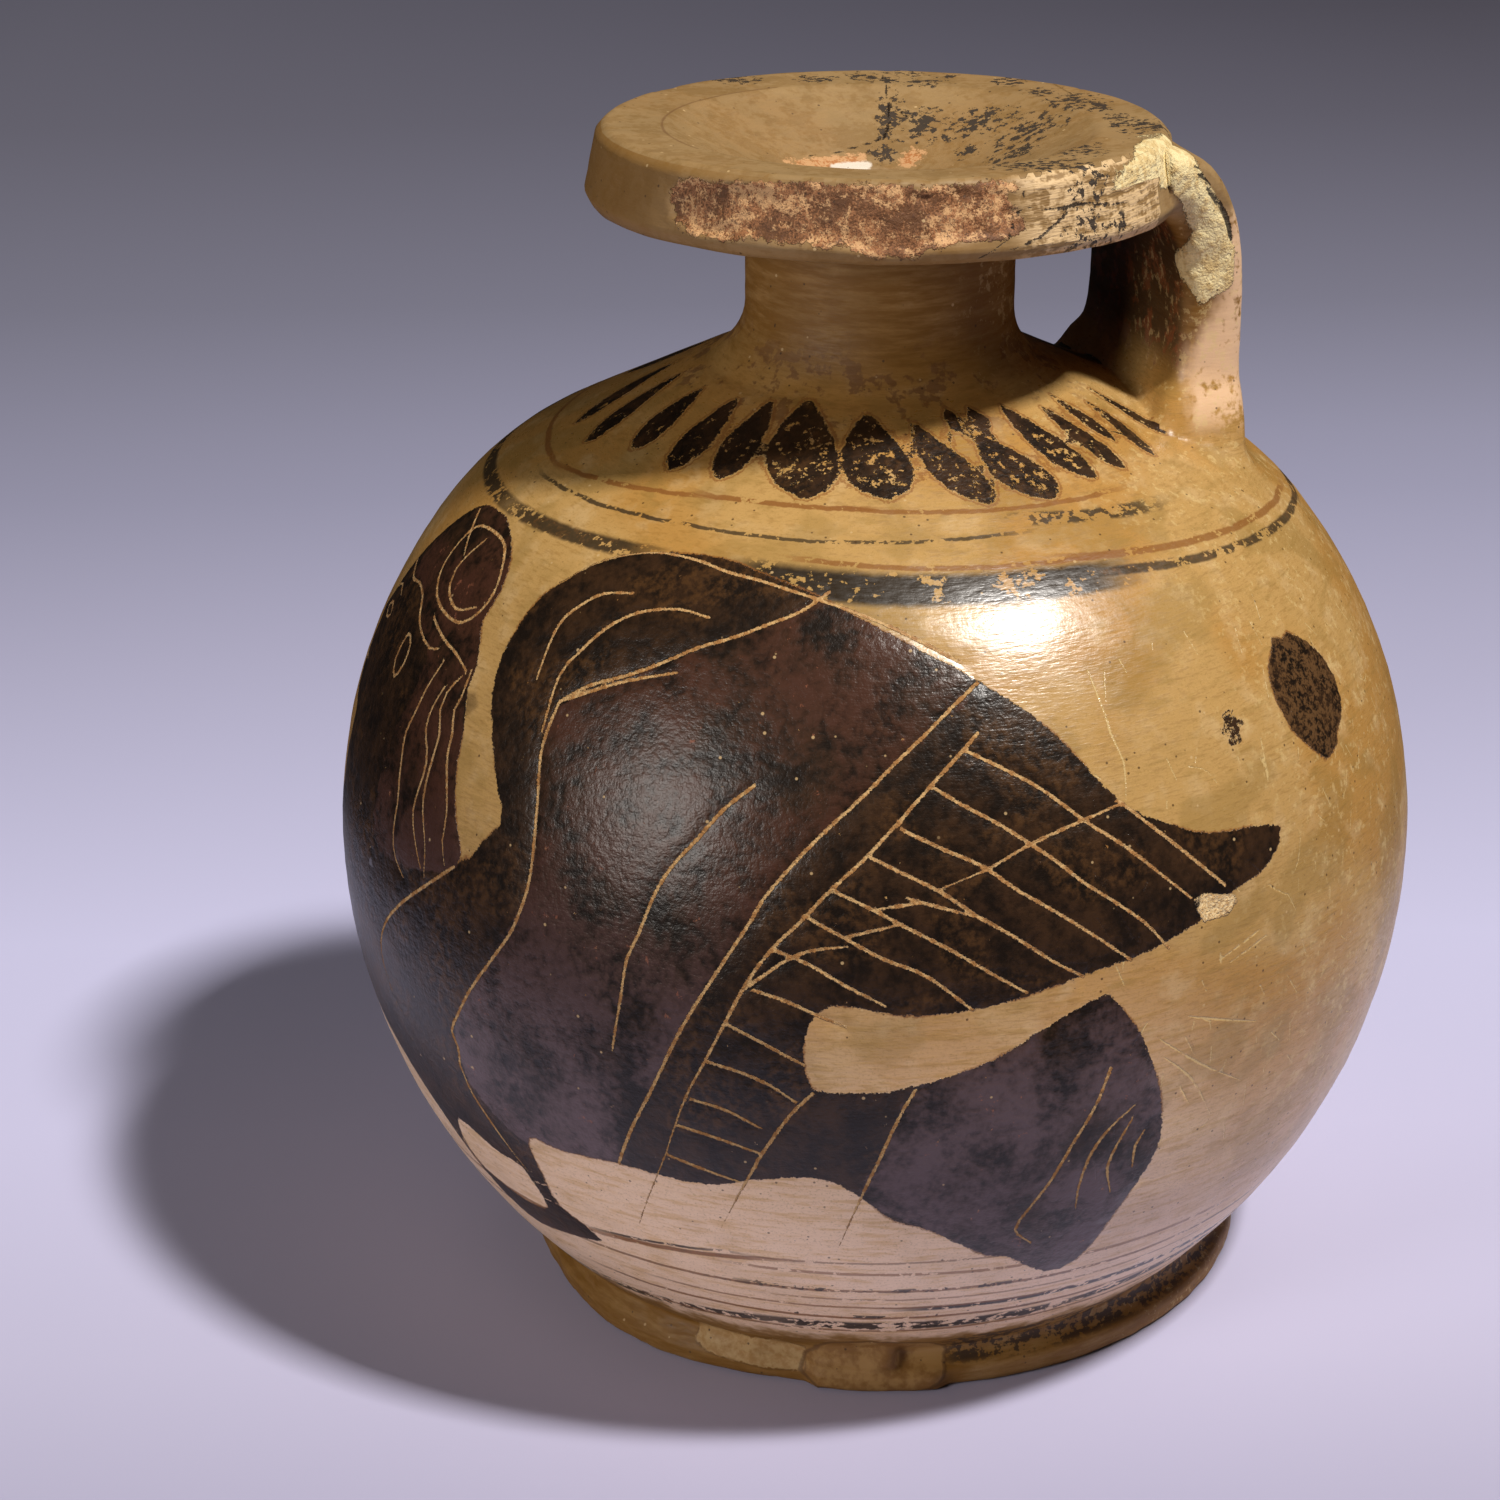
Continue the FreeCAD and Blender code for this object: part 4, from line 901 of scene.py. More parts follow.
def paint_attributes(shape):
    """Store every painted, cut, cracked and mended place on the mesh, in millimetres."""
    mesh = shape.data
    count = len(mesh.vertices)
    p = np.empty(count * 3)
    mesh.vertices.foreach_get("co", p)
    p = p.reshape(-1, 3) / MM
    one = np.ones(count)
    fields = {name: np.full(count, -FAR) for name in (
        "glaze", "petal", "purple", "chalk", "putty", "fill", "lump", "spall", "flakes", "rust", "glint",
        "band")}
    fields.update({name: np.full(count, FAR) for name in ("cut", "scratch", "crack", "ring")})

    def more(name, where, values):
        """Keep the greater values of a field."""
        fields[name][where] = np.maximum(fields[name][where], values)

    def less(name, where, values):
        """Keep the lesser values of a field."""
        fields[name][where] = np.minimum(fields[name][where], values)

    # The body's painting.
    reach = np.hypot(p[:, 0], p[:, 1])
    t = (np.degrees(np.arctan2(p[:, 1], p[:, 0])) - FRONT + 540) % 360 - 180
    s, gap = arc_length(reach, p[:, 2])
    skin = np.flatnonzero((np.abs(gap) < 0.8) & (p[:, 2] > 6.9) & (p[:, 2] < PIVOT_Z))
    for name, values in decor(t[skin], s[skin]).items():
        fields[name][skin] = values

    # The plate's top.
    tipped = (p - PIVOT) @ TIP
    plate_reach, up = np.hypot(tipped[:, 0], tipped[:, 1]), tipped[:, 2] - NECK_LENGTH
    top = np.flatnonzero((up > PLATE_H - DISH_DEPTH - 1.6) & (plate_reach > 5))
    on_top = tipped[top, 0], tipped[top, 1], one[top]
    across = FRONT_COS * on_top[0] - FRONT_SIN * on_top[1]
    back = FRONT_SIN * on_top[0] + FRONT_COS * on_top[1]
    for centre_a, centre_b, half_a, half_b in PLATE_FLAKES:
        more("flakes", top, 3 * (1 - np.hypot((across - centre_a) / half_a, (back - centre_b) / half_b)))
    more("glint", top, signed(*on_top, smooth(polar(PLATE_GLINT), 0.5, True)))
    less("ring", top, path_distance(*on_top, polar(PLATE_RING)))
    for points in PLATE_RUST:
        more("rust", top, signed(*on_top, smooth(polar(points), 1.0, True)))
    for points in PLATE_CRACKS:
        less("crack", top, path_distance(*on_top, polar(points), (0.05, 0.1)))
    more("putty", top, np.where(up[top] > PLATE_H - 2.4, signed(*on_top, seen(RIM_PUTTY)), -FAR))

    # The plate's band.
    band = np.flatnonzero((up > -0.1) & (plate_reach > 25.3) & (tipped[:, 0] < 20))
    turn = (np.degrees(np.arctan2(tipped[:, 1], tipped[:, 0])) - FRONT + 540) % 360 - 180
    on_band = turn[band], up[band], BAND_SCALE * one[band]
    for points in BAND_CRACKS:
        less("crack", band, path_distance(*on_band, np.array(points, float), (0.1, 0.1)))
    more("flakes", band, signed(*on_band, np.array(BAND_FLAKES)) - 0.2)
    more("spall", band, signed(*on_band, np.array(SPALL)))
    fields["band"][band] = 1.0

    # The strap's near edge and the foot.
    strap = np.flatnonzero((p[:, 0] > 19) & (p[:, 2] > 88) & (gap > 0.6) & (p[:, 1] < -9))
    on_strap = p[strap, 0], p[strap, 2], one[strap]
    more("putty", strap, signed(*on_strap, np.array(PUTTY)) - np.maximum(p[strap, 1] - NEAR_EDGE_Y, 0))
    less("crack", strap, path_distance(*on_strap, np.array(SLIT)) - 0.16)
    foot = np.flatnonzero((p[:, 2] < 6.4) & (reach > 31))
    for name, points in (("fill", FOOT_FILL), ("lump", FOOT_LUMP)):
        fields[name][foot] = signed(t[foot], p[foot, 2], 0.63 * one[foot], np.array(points, float))

    fields["cloud"] = 0.5 + lumps(p, (0.5, 0.06, 30.0), (0.2, 0.15, 31.0))
    fields["blotch"] = 0.5 + lumps(p, (0.45, 0.14, 40.0), (0.25, 0.32, 41.0), (0.15, 0.7, 42.0))
    for name, values in fields.items():
        mesh.attributes.new(name, "FLOAT", "POINT").data.foreach_set("value", values.astype(np.float32))


class Shader:
    """A material and short ways to add nodes to it."""

    def __init__(self, name):
        self.material = bpy.data.materials.new(name)
        self.material.use_nodes = True
        self.tree = self.material.node_tree
        self.tree.nodes.clear()

    def put(self, socket, value):
        """Link or set a socket."""
        if isinstance(value, bpy.types.NodeSocket):
            self.tree.links.new(value, socket)
        else:
            socket.default_value = value

    def node(self, kind, inputs=(), **settings):
        """A node with some of its properties and, by name or place, of its inputs set."""
        made = self.tree.nodes.new("ShaderNode" + kind)
        for name, value in settings.items():
            setattr(made, name, value)
        for key, value in inputs.items() if isinstance(inputs, dict) else enumerate(inputs):
            self.put(made.inputs[key], value)
        return made

    def math(self, operation, *values):
        """A sum on numbers."""
        return self.node("Math", values, operation=operation).outputs[0]

    def chain(self, operation, first, *others):
        """A sum carried on over several values."""
        for other in others:
            first = self.math(operation, first, other)
        return first

    def add(self, *values):
        """The sum of several values."""
        return self.chain("ADD", *values)

    def times(self, *values):
        """The product of several values."""
        return self.chain("MULTIPLY", *values)

    def most(self, *values):
        """The greatest of several values."""
        return self.chain("MAXIMUM", *values)

    def plus(self, value, *pairs):
        """A value plus others, each times a share: plus(value, other, share, other, share)."""
        for other, share in zip(pairs[::2], pairs[1::2]):
            value = self.add(value, self.times(other, share))
        return value

    def ramp(self, value, low, high, kind="LINEAR"):
        """0 at low and 1 at high, straight between."""
        return self.node("MapRange", (value, low, high, 0.0, 1.0), interpolation_type=kind).outputs[0]

    def step(self, value, low, high):
        """0 at low and 1 at high, smooth between."""
        return self.ramp(value, low, high, "SMOOTHSTEP")

    def flip(self, value):
        """One less a value."""
        return self.math("SUBTRACT", 1.0, value)

    def fade(self, value, low, high):
        """1 at low and 0 at high, smooth between."""
        return self.flip(self.step(value, low, high))

    def between(self, value, low, inner_low, inner_high, high):
        """1 between the inner values, falling to 0 at the outer ones."""
        return self.times(self.step(value, low, inner_low), self.fade(value, inner_high, high))

    def noise(self, vector, scale, detail=2.0, rough=0.5):
        """Noise about 0.5."""
        inputs = {"Vector": vector, "Scale": scale, "Detail": detail, "Roughness": rough}
        return self.node("TexNoise", inputs).outputs[0]

    def specks(self, scale, radius, share):
        """Small round spots on a share of scattered points."""
        made = self.node("TexVoronoi", {"Vector": self.spot, "Scale": scale})
        pick = self.node("SeparateColor", (made.outputs["Color"],)).outputs[0]
        return self.times(self.fade(made.outputs["Distance"], radius * 0.6, radius),
                          self.step(pick, 1 - share, 1 - share + 0.01))

    def mix(self, share, first, second):
        """A colour between two."""
        return self.node("Mix", {0: share, 6: first, 7: second}, data_type="RGBA").outputs[2]

    def patchy(self, value, low, high, first, second):
        """One colour below low and another above high."""
        return self.mix(self.step(value, low, high), first, second)

    def blend(self, share, first, second):
        """A number between two."""
        return self.node("Mix", {0: share, 2: first, 3: second}, data_type="FLOAT").outputs[0]

    def field(self, name):
        """A value stored on the mesh."""
        return self.node("Attribute", attribute_type="GEOMETRY", attribute_name=name).outputs["Fac"]

    def find_place(self):
        """Note the place in millimetres: vector, x, y and z."""
        place = self.node("TexCoord").outputs["Object"]
        self.spot = self.node("VectorMath", {0: place, "Scale": 1000.0}, operation="SCALE").outputs[0]
        self.x, self.y, self.z = self.node("SeparateXYZ", (self.spot,)).outputs

    def surface(self, color, roughness, height=None, specular=0.5):
        """The surface, with a height in millimetres for the bump."""
        inputs = {"Base Color": color, "Roughness": roughness, "Specular IOR Level": specular}
        if height is not None:
            bump = self.node("Bump", {"Strength": 1.0, "Distance": MM, "Height": height})
            inputs["Normal"] = bump.outputs[0]
        self.node("OutputMaterial", (self.node("BsdfPrincipled", inputs).outputs[0],))
        return self.material


class Coat:
    """A colour that is laid in layers."""

    def __init__(self, shader, color):
        self.shader = shader
        self.color = color

    def lay(self, color, *shares):
        """Lay a colour over it; how far it covers is the product of the shares."""
        self.color = self.shader.mix(self.shader.times(*shares), self.color, color)


# Colours of the bare clay and its stains, and of bounce light painted low on the body; the glaze and
# the added red with its painted sheen; wear and breaks; a painted highlight; the mends.
BUFF, WARM, PALE = srgb(191, 152, 92), srgb(183, 137, 72), srgb(208, 176, 126)
BOUNCE_PALE, BOUNCE_WARM = srgb(250, 216, 182), srgb(238, 198, 150)
OLIVE, BROWN, DEEP = srgb(148, 117, 60), srgb(132, 90, 24), srgb(66, 42, 20)
TOP_GREY, TOP_BROWN = srgb(146, 119, 82), srgb(124, 94, 54)
BAND_PALE, SHIN = srgb(232, 198, 148), srgb(240, 200, 160)
ROOT_BROWN, BURNT, COVE = srgb(96, 52, 24), srgb(128, 68, 32), srgb(44, 30, 18)
BLACK, UMBER, THIN, LINE = srgb(28, 20, 14), srgb(60, 40, 24), srgb(136, 86, 40), srgb(40, 33, 27)
MOTTLE, RED, RED_WITH_PAINTED_SHEEN, ROSE = srgb(90, 60, 30), srgb(72, 44, 32), srgb(94, 76, 78), srgb(150, 92, 68)
REMNANT, BLOT_WORN = srgb(80, 71, 62), srgb(98, 70, 42)
RUBBED, SCRATCH, SCRATCH_DEEP = srgb(222, 194, 134), srgb(210, 170, 112), srgb(168, 118, 62)
CHALK, CHALK_DEEP = srgb(240, 212, 160), srgb(208, 168, 110)
RAW_DARK, RAW, RAW_PIT, PINK = srgb(102, 62, 28), srgb(168, 112, 68), srgb(78, 42, 22), srgb(222, 174, 120)
WHEEL_RING, RUST, RUST_PALE = srgb(104, 66, 34), srgb(188, 118, 64), srgb(214, 164, 114)
GLINT, FILL, FILL_DARK = srgb(240, 226, 208), srgb(200, 166, 112), srgb(176, 134, 76)
LUMP, LUMP_DARK = srgb(172, 132, 74), srgb(140, 98, 44)
SEAM, MEND, MEND_DARK, SOOT = srgb(84, 52, 18), srgb(248, 228, 172), srgb(220, 190, 130), srgb(36, 24, 14)

# Thin painted lines round the body: height at the first and at the last angle, half width, first
# and last angle, strength, darkness and how broken they are.
LINES = (
    (83.5, 85.0, 0.13, 2, 40, 0.85, 0.15, 0.3), (85.1, 85.2, 0.13, 38, 72, 0.85, 0.2, 0.3),
    (85.2, 84.3, 0.12, 66, 120, 0.8, 0.2, 0.3), (82.7, 83.4, 0.1, 2, 40, 0.85, 0.9, 0.42),
    (83.4, 83.4, 0.1, 38, 96, 0.8, 0.7, 0.42), (80.6, 81.5, 0.45, 4, 38, 0.9, 0.6, 0.36),
    (81.2, 80.2, 0.95, 52, 108, 0.97, 1.0, 0.33), (82.4, 81.4, 0.14, 60, 108, 0.8, 0.1, 0.36),
    (80.6, 77.1, 0.3, 104, 164, 0.85, 0.6, 0.4), (81.8, 78.6, 0.22, 100, 160, 0.8, 0.15, 0.36),
    (84.1, 83.0, 0.35, 97, 124, 0.85, 1.0, 0.48), (18.5, 20.6, 0.3, 38, 62, 0.9, 0.3, 0.3),
    (18.9, 20.8, 0.16, 38, 56, 0.9, 1.0, 0.4), (20.6, 20.9, 0.14, 58, 90, 0.6, 0.4, 0.4),
    (19.2, 18.6, 0.2, 56, 118, 0.7, 0.2, 0.34), (16.2, 16.4, 0.2, 36, 112, 0.8, 0.35, 0.34),
    (16.5, 16.4, 0.32, 56, 92, 0.85, 1.0, 0.54), (14.9, 14.9, 0.14, 60, 118, 0.6, 0.2, 0.36),
    (13.2, 13.0, 0.36, 76, 132, 0.97, 1.0, 0.42), (13.6, 13.4, 0.16, 44, 96, 0.7, 0.1, 0.3),
    (11.6, 11.4, 0.2, 34, 110, 0.85, 0.12, 0.28), (12.0, 11.6, 0.25, 52, 92, 0.9, 1.0, 0.58),
    (7.3, 9.9, 0.62, 26, 60, 0.97, 1.0, 0.42), (9.8, 9.9, 0.8, 58, 100, 0.97, 1.0, 0.44),
    (9.9, 12.4, 0.6, 98, 138, 0.97, 1.0, 0.42), (8.6, 8.9, 0.2, 40, 120, 0.8, 0.05, 0.3),
    (77.1, 77.1, 0.5, 162, 190, 0.9, 0.9, 0.4), (77.1, 80.6, 0.5, -180, 4, 0.9, 0.9, 0.4),
    (84.3, 83.4, 0.13, -200, 2, 0.8, 0.2, 0.3), (12.4, 12.4, 0.6, 138, 190, 0.95, 1.0, 0.42),
    (12.4, 7.4, 0.6, -180, 26, 0.95, 1.0, 0.42), (16.4, 16.2, 0.2, -200, 36, 0.8, 0.4, 0.36),
    (16.4, 16.4, 0.2, 112, 190, 0.8, 0.4, 0.36), (19.5, 18.5, 0.25, -200, 38, 0.8, 0.3, 0.34),
)


class Ware(Shader):
    """Fired clay, with the noises and zones that its layers share."""

    def __init__(self):
        super().__init__("fired clay")
        self.find_place()
        wheel = self.node("VectorMath", (self.spot, (0.16, 0.16, 1.0)), operation="MULTIPLY").outputs[0]
        turn = self.math("ARCTAN2", self.times(self.y, -1.0), self.times(self.x, -1.0))
        self.t = self.math("DEGREES", turn)
        self.patch = self.field("blotch")
        self.medium, self.fine, self.grain = (
            self.noise(self.spot, *sizes) for sizes in ((0.3, 3.0, 0.6), (1.3, 3.0, 0.62), (4.5, 2.0, 0.65)))
        self.streak, self.hair = self.noise(wheel, 1.5, 3.0, 0.65), self.noise(wheel, 5.0, 2.0, 0.6)
        self.flake = self.noise(self.spot, 1.1, 4.0, 0.72)
        self.cloudy, self.rub, self.fleck, self.wheeled = (
            self.add(noisy, -0.5) for noisy in (self.medium, self.fine, self.grain, self.streak))
        self.mouth = self.step(self.z, 104.0, 106.0)
        self.neck = self.times(self.step(self.z, 89.5, 95.0), self.flip(self.mouth))
        self.foot = self.fade(self.plus(self.z, self.cloudy, 6.0), 5.5, 8.0)
        self.strap = self.times(self.step(self.x, 16.0, 19.0), self.between(self.z, 88.0, 93.0, 111.0, 112.0))
        self.side = self.step(self.field("band"), 0.0, 0.8)
        self.bright = self.times(self.side, self.step(self.t, 96.0, 106.0))
        self.worn = self.times(self.fade(self.plus(self.field("scratch"), self.fleck, 0.25), 0.05, 0.16),
                               self.step(self.fine, 0.36, 0.5))


def bare_clay(m):
    """Buff clay, with warmer and paler clouds, stains, wheel marks, scratches, painted bounce light low down
    and painted shade in the strap.
    """
    coat = Coat(m, m.patchy(m.field("cloud"), 0.4, 0.62, BUFF, WARM))
    coat.lay(PALE, m.step(m.medium, 0.48, 0.7), 0.45)
    # Paler clay low on the body, reaching less high at the back: painted bounce light from the tabletop,
    # where the stains fade too.
    low = m.fade(m.plus(m.z, m.between(m.t, 96.0, 120.0, 150.0, 178.0), 14.0), 18.0, 58.0)
    coat.lay(m.patchy(m.streak, 0.45, 0.65, BOUNCE_PALE, BOUNCE_WARM), low, m.flip(m.foot), 0.95)
    stain = m.flip(m.times(low, 0.75))
    for color, noisy, low_edge, high_edge, share in (
            (OLIVE, m.streak, 0.5, 0.72, 0.4), (BROWN, m.hair, 0.5, 0.68, 0.3),
            (OLIVE, m.patch, 0.5, 0.66, 0.4)):
        coat.lay(color, m.step(noisy, low_edge, high_edge), stain, share)
    coat.lay(OLIVE, m.step(m.grain, 0.52, 0.72), 0.35)
    coat.lay(BROWN, m.add(m.neck, m.foot), m.add(0.88, m.times(m.wheeled, 1.4)))
    coat.lay(m.patchy(m.plus(m.medium, m.rub, 0.5), 0.42, 0.62, TOP_GREY, TOP_BROWN), m.mouth, 0.7)
    coat.lay(BROWN, m.side, m.add(0.3, m.times(m.fade(m.t, 10.0, 40.0), 0.35)))
    coat.lay(BAND_PALE, m.bright, m.step(m.plus(m.streak, m.rub, 0.8), 0.36, 0.56), 0.85)
    coat.lay(ROOT_BROWN, m.between(m.z, 88.0, 90.0, 92.0, 97.0),
             m.step(m.plus(m.medium, m.rub, 0.5), 0.54, 0.62), 0.6)
    shin = m.plus(m.x, m.cloudy, 4.0, m.fade(m.z, 90.0, 97.0), 3.0)
    coat.lay(SHIN, m.step(m.z, 84.0, 87.0), m.flip(m.mouth), m.step(shin, 28.0, 30.6),
             m.step(m.plus(m.medium, m.rub, 0.8), 0.3, 0.5), 0.85)
    # The strap's inner face, towards the neck, is laid dark brown with burnt patches: its own brown marks and
    # painted shade.
    strap_inner_shade = m.times(m.strap, m.fade(m.z, 105.0, 105.5), m.fade(m.x, 25.6, 26.4), m.step(m.y, -12.4, -11.2))
    coat.lay(m.patchy(m.plus(m.medium, m.rub, 0.4), 0.52, 0.62, DEEP, BURNT), strap_inner_shade, 0.85)
    pale = m.times(m.step(m.t, 100.0, 130.0), m.step(m.plus(m.flake, m.cloudy, 0.3), 0.56, 0.64),
                   m.flip(m.mouth))
    coat.lay(RUBBED, m.most(m.worn, m.times(pale, 0.6)), 0.7)
    return coat


def painted_lines(m, coat):
    """The thin lines round the body and the dark stretch in the foot's hollow moulding."""
    waver = m.add(m.times(m.cloudy, 0.35), m.times(m.rub, 0.14), m.z)
    gaps = m.plus(m.medium, m.rub, 0.9, m.wheeled, 0.5)
    for start, end, half, first, last, strength, dark, loss in LINES:
        middle = m.add(start, m.times(m.ramp(m.t, float(first), float(last)), end - start))
        away = m.math("ABSOLUTE", m.math("SUBTRACT", waver, middle))
        coat.lay(m.patchy(m.add(dark, m.times(m.rub, 0.7)), 0.25, 0.65, THIN, LINE),
                 m.fade(away, half * 0.7, half * 1.3),
                 m.between(m.t, first - 5.0, first + 5.0, last - 6.0, last + 6.0),
                 strength, m.step(gaps, loss, loss + 0.05))
    coat.lay(COVE, m.between(m.z, 2.0, 2.6, 5.6, 6.6), m.between(m.t, 82.0, 86.0, 138.0, 150.0),
             m.step(m.plus(m.streak, m.rub, 1.4), 0.44, 0.56), 0.85)


def glazed(m, coat):
    """The glaze with its worn places, mottling and added red; returns how far it covers."""
    glaze, petal, purple = (m.field(name) for name in ("glaze", "petal", "purple"))
    chip = m.add(m.times(m.rub, 0.8), m.times(m.cloudy, 0.4), m.times(m.fleck, 0.8))
    slip, leaf = m.plus(glaze, chip, 0.6), m.plus(petal, chip, 0.8)
    halo = m.times(m.step(slip, -0.24, -0.06), m.step(m.patch, 0.42, 0.55), 0.75)
    coat.lay(THIN, m.most(halo, m.times(m.between(leaf, -0.48, -0.34, -0.24, -0.1), 0.7)))
    rubbed = m.times(m.between(m.t, 40.0, 60.0, 124.0, 136.0), m.step(petal, 0.2, 1.4))
    leaf_wear = m.plus(m.flake, rubbed, 0.06)
    zone = m.field("flakes")
    left = m.plus(m.flake, m.ramp(zone, -1.5, 3.0), 0.17, m.rub, 0.25)
    remnant = m.times(m.step(left, 0.61, 0.63), m.step(zone, -1.5, -0.8))
    cover = m.most(m.times(m.step(slip, -0.05, 0.05), m.fade(m.flake, 0.705, 0.72)),
                   m.times(m.step(leaf, -0.05, 0.05), m.fade(leaf_wear, 0.605, 0.64)), remnant)
    tone = Coat(m, m.patchy(m.plus(m.medium, m.rub, 0.6), 0.3, 0.75, BLACK, UMBER))
    tone.lay(MOTTLE, m.step(m.patch, 0.48, 0.62), m.step(m.fine, 0.4, 0.7), 0.5)
    # The added red turns violet towards the bottom: a painted sheen, the tabletop's reflection laid into its
    # colour.
    tone.lay(m.patchy(m.z, 62.0, 34.0, RED, RED_WITH_PAINTED_SHEEN), m.step(m.plus(purple, m.rub, 1.2), -0.15, 0.15),
             m.step(m.plus(m.medium, m.rub, 0.9, m.add(m.patch, -0.5), 0.9), 0.15, 0.85))
    tone.lay(ROSE, m.step(m.plus(m.flake, m.cloudy, 0.7), 0.72, 0.75), m.step(purple, 0.5, 1.5), 0.6)
    tone.lay(REMNANT, remnant, 0.75)
    tone.lay(BLOT_WORN, m.step(m.t, 118.0, 121.0), m.flip(m.mouth), m.between(m.z, 58.0, 61.0, 73.0, 75.0),
             m.step(m.plus(m.fine, m.fleck, 0.8), 0.4, 0.6))
    coat.lay(tone.color, cover)
    m.chip = chip
    return cover


def cut_lines(m, coat):
    """The incised lines and the chip in the wing; returns how far each shows."""
    width = m.add(0.13, m.times(m.rub, 0.22), m.times(m.fleck, 0.3))
    groove = m.fade(m.field("cut"), width, m.add(width, 0.06))
    coat.lay(m.patchy(m.fine, 0.4, 0.6, SCRATCH, SCRATCH_DEEP), groove, 0.92)
    chalk = m.step(m.plus(m.field("chalk"), m.chip, 0.4), -0.05, 0.05)
    coat.lay(m.patchy(m.grain, 0.4, 0.6, CHALK, CHALK_DEEP), chalk)
    return groove, chalk


def plate_wear(m, coat):
    """The broken patch, the ring, the rust and a painted highlight on the plate; returns two of them."""
    spall = m.step(m.plus(m.field("spall"), m.cloudy, 1.2, m.rub, 1.6, m.fleck, 0.6), -0.08, 0.08)
    raw = Coat(m, m.patchy(m.plus(m.medium, m.fleck, 1.2), 0.36, 0.6, RAW_DARK, RAW))
    raw.lay(PINK, m.step(m.plus(m.flake, m.cloudy, 0.7, m.fleck, 0.5), 0.5, 0.62), 0.9)
    raw.lay(RAW_PIT, m.step(m.plus(m.grain, m.rub, 0.5), 0.56, 0.66), 0.75)
    coat.lay(raw.color, spall, 0.97)
    coat.lay(WHEEL_RING, m.fade(m.plus(m.field("ring"), m.rub, 0.3), 0.08, 0.22), 0.5)
    coat.lay(m.patchy(m.plus(m.fine, m.fleck, 0.8), 0.42, 0.54, RUST, RUST_PALE),
             m.step(m.plus(m.field("rust"), m.rub, 2.6, m.fleck, 1.5), 0.2, 0.7), 0.85)
    glint = m.step(m.plus(m.field("glint"), m.rub, 1.0), 0.2, 0.6)
    coat.lay(GLINT, glint)
    return spall, glint


def mends(m, coat):
    """The old fill in the foot with its lump and seam, and the putty; returns the putty."""
    putty = m.step(m.plus(m.field("putty"), m.rub, 0.9, m.fleck, 0.5), -0.06, 0.08)
    lump = m.step(m.plus(m.field("lump"), m.rub, 0.8), -0.1, 0.1)
    coat.lay(m.patchy(m.fine, 0.35, 0.7, FILL, FILL_DARK),
             m.step(m.plus(m.field("fill"), m.rub, 1.2), -0.05, 0.1), m.flip(lump), 0.85)
    coat.lay(m.patchy(m.plus(m.medium, m.rub, 0.5), 0.4, 0.62, LUMP, LUMP_DARK), lump, 0.9)
    seam = m.math("MINIMUM", m.math("ABSOLUTE", m.plus(m.field("lump"), m.rub, 0.6)),
                  m.add(m.math("ABSOLUTE", m.field("fill")), 0.15))
    coat.lay(SEAM, m.fade(seam, 0.08, 0.3), 0.6)
    coat.lay(m.patchy(m.plus(m.fine, m.cloudy, 0.6), 0.4, 0.65, MEND, MEND_DARK), putty)
    return putty


def ware():
    """Fired clay with glaze, added red, cut lines, wear and mends."""
    m = Ware()
    coat = bare_clay(m)
    painted_lines(m, coat)
    cover = glazed(m, coat)
    groove, chalk = cut_lines(m, coat)
    spall, glint = plate_wear(m, coat)
    putty = mends(m, coat)
    crack = m.fade(m.plus(m.field("crack"), m.fleck, 0.3, m.rub, 0.3), 0.07, 0.17)
    coat.lay(SOOT, crack, 0.92)
    coat.lay(DEEP, m.specks(1.0, 0.15, 0.3), 0.75, m.flip(m.times(cover, 0.8)))
    coat.lay(PALE, m.specks(0.55, 0.1, 0.25), 0.7)

    dull = m.most(putty, chalk, m.times(spall, 0.5), groove)
    matt = m.most(m.mouth, m.strap, m.neck, m.foot)
    polish = m.times(m.step(m.z, 62.0, 68.0), m.between(m.t, 56.0, 74.0, 98.0, 118.0), m.flip(matt))
    rough = m.plus(0.28, m.medium, 0.12, matt, 0.28, m.add(m.hair, -0.5), 0.4, polish, -0.03)
    rough = m.blend(dull, m.blend(cover, rough, m.add(0.27, m.times(m.fine, 0.12))), 0.75)
    rough = m.blend(glint, rough, 0.2)
    height = m.add(
        m.times(m.medium, 0.04), m.times(m.fine, m.blend(dull, m.blend(cover, 0.02, 0.09), 0.35)),
        m.times(m.streak, 0.03), m.times(m.hair, m.add(0.012, m.times(polish, 0.016))), m.times(cover, 0.025),
        m.times(m.grain, m.blend(dull, m.blend(cover, 0.006, 0.012), 0.13)), m.times(groove, -0.06),
        m.times(m.worn, -0.03), m.times(crack, -0.15), m.times(m.bright, m.streak, 0.3))
    return m.surface(coat.color, rough, height, m.blend(cover, m.add(0.55, m.times(polish, 0.45)), 0.45))


# Colour of the tabletop by distance behind the flask, in millimetres, and beyond the lit stretch: a painted
# pool of light round the flask, falling off to painted shade.
TABLE = (
    (-60, (174, 172, 200)), (-30, (191, 189, 218)), (15, (205, 204, 237)), (60, (209, 209, 244)),
    (150, (187, 187, 219)), (220, (167, 168, 198)), (330, (146, 147, 171)), (480, (135, 135, 156)),
    (640, (136, 136, 158)),
)
FAR_RIGHT, FAR_LEFT, BEYOND = srgb(100, 98, 112), srgb(190, 188, 205), srgb(34, 32, 36)


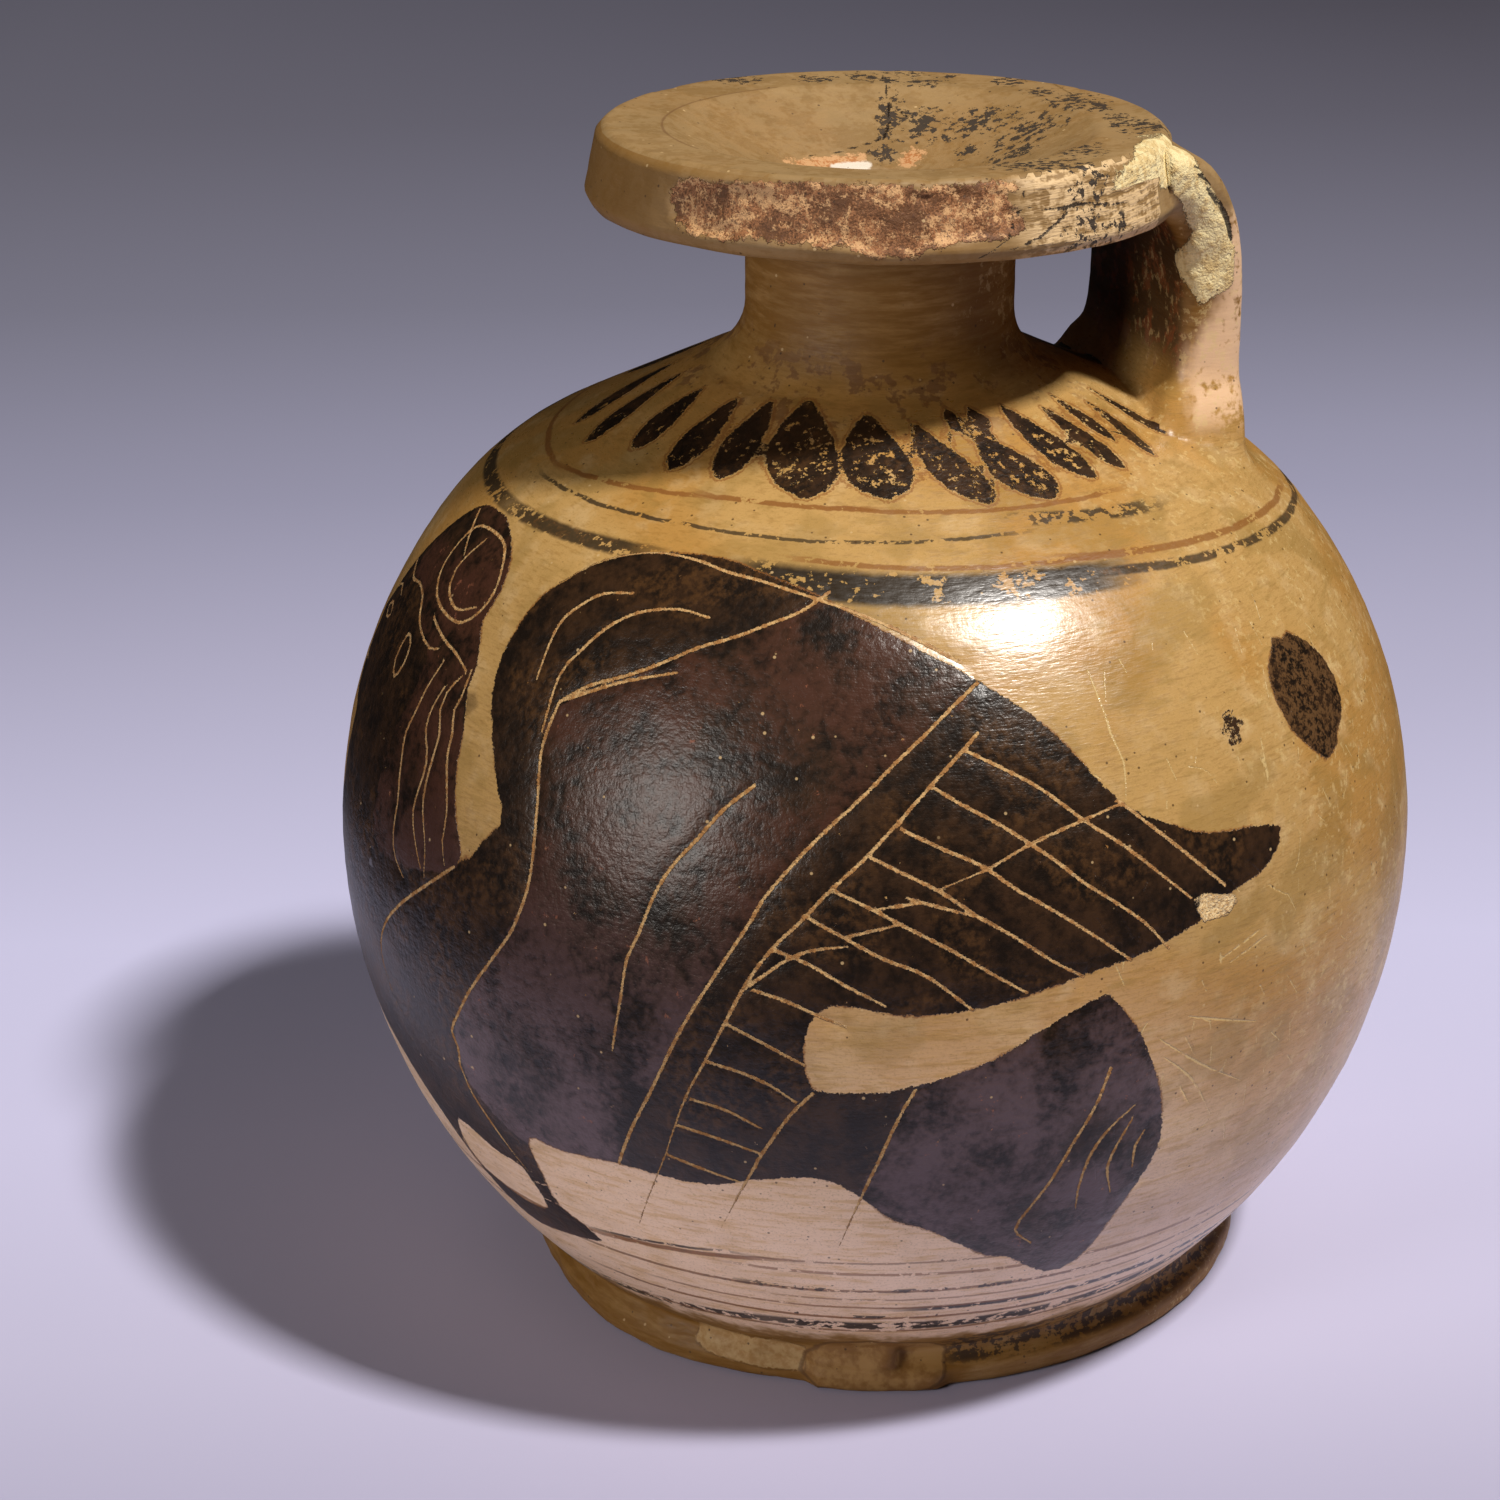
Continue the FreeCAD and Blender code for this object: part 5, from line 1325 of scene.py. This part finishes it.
def tabletop():
    """A tabletop whose colour changes with distance behind the flask and to its sides, as a painted pool of
    light.
    """
    m = Shader("backdrop")
    m.find_place()
    depth = m.add(m.times(m.x, FRONT_SIN), m.times(m.y, FRONT_COS))
    side = m.add(m.times(m.x, FRONT_COS), m.times(m.y, -FRONT_SIN))
    coat = Coat(m, srgb(*TABLE[0][1]))
    for (start, _), (end, tint) in zip(TABLE, TABLE[1:]):
        coat.lay(srgb(*tint), m.ramp(depth, float(start), float(end)))
    coat.lay(FAR_RIGHT, m.ramp(depth, 250.0, 600.0), m.ramp(side, -190.0, 170.0), 0.75)
    coat.lay(FAR_LEFT, m.ramp(depth, 60.0, 640.0), m.ramp(side, 130.0, -190.0), 0.1)
    beyond = m.most(m.step(m.math("ABSOLUTE", side), 250.0, 600.0),
                    m.step(m.math("ABSOLUTE", depth), 680.0, 900.0))
    reach = m.math("SQRT", m.add(m.times(depth, depth), m.times(side, side)))
    # In reflections the tabletop is painted dark from about 85 mm out.
    mirrored_part = m.times(m.node("LightPath").outputs["Is Glossy Ray"], m.step(reach, 85.0, 170.0))
    coat.lay(BEYOND, m.most(beyond, mirrored_part, m.step(depth, -200.0, -500.0)))
    return m.surface(coat.color, 0.85, None, 0.1)


def lamp(name, place, target, width, power, color):
    """A square light that faces a point, in millimetres."""
    data = bpy.data.lights.new(name, "AREA")
    data.energy = power
    data.size = width * MM
    data.color = color
    light = bpy.data.objects.new(name, data)
    light.location = Vector(place) * MM
    light.rotation_euler = (Vector(place) - Vector(target)).to_track_quat("Z", "Y").to_euler()
    bpy.context.collection.objects.link(light)


def vessel():
    """The whole flask as one object, dressed."""
    main_shell, strap = Shell(), Shell()
    body_sheet(main_shell)
    main_shell.strip(foot_rows(), fan=(FOOT_OFF, 0, UNDERSIDE_Z))
    main_shell.strip(neck_rows() + band_rows() + dish_rows(), fan=(0, 0, FLOOR_Z))
    strap_shell(strap)
    pot = joined(main_shell.build("vessel", 0.01), strap.build("strap", 0.01))
    soften_root(pot)
    paint_attributes(pot)
    pot.data.materials.clear()
    pot.data.materials.append(ware())
    for face in pot.data.polygons:
        face.material_index = 0
        face.use_smooth = True
    return pot


pot = vessel()
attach(pot, "root")
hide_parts("aryballos")

TABLE_HALF = 3
floor_mesh = bpy.data.meshes.new("tabletop")
corners = [(x * TABLE_HALF, y * TABLE_HALF, 0) for x, y in ((-1, -1), (1, -1), (1, 1), (-1, 1))]
floor_mesh.from_pydata(corners, [], [(0, 1, 2, 3)])
floor = bpy.data.objects.new("tabletop", floor_mesh)
bpy.context.collection.objects.link(floor)
floor_mesh.materials.append(tabletop())

# Each lamp's place, what it faces, its width, power and colour.
lamp("key", (330, -368, 950), (0, 0, 50), 95, 12.2, (1.0, 0.95, 0.89))
lamp("window", (-455, -235, 225), (0, 0, 65), 150, 0.98, (1.0, 0.95, 0.9))
world = bpy.data.worlds.new("room")
world.use_nodes = True
glow = world.node_tree.nodes["Background"]
glow.inputs["Color"].default_value = (1.0, 0.93, 0.8, 1)
glow.inputs["Strength"].default_value = 0.008
bpy.context.scene.world = world

# The camera, fitted to the photo's outline: its place in millimetres and its three directions.
CAMERA_PLACE = Vector((-97.07, -298.76, 187.165))
CAMERA_RIGHT, CAMERA_UP = Vector((0.96100, -0.27637, -0.00982)), Vector((0.11892, 0.38093, 0.91693))
CAMERA_AHEAD = Vector((0.24967, 0.88234, -0.39893))
camera_data = bpy.data.cameras.new("camera")
camera_data.lens = 83.71
camera_data.sensor_width = 36.0
camera_data.clip_start = 0.01
camera = bpy.data.objects.new("camera", camera_data)
facing = Matrix((CAMERA_RIGHT, CAMERA_UP, -CAMERA_AHEAD)).transposed().to_4x4()
camera.matrix_world = Matrix.Translation(CAMERA_PLACE * MM) @ facing
bpy.context.collection.objects.link(camera)
bpy.context.scene.camera = camera
bpy.context.scene.view_settings.view_transform = "Standard"
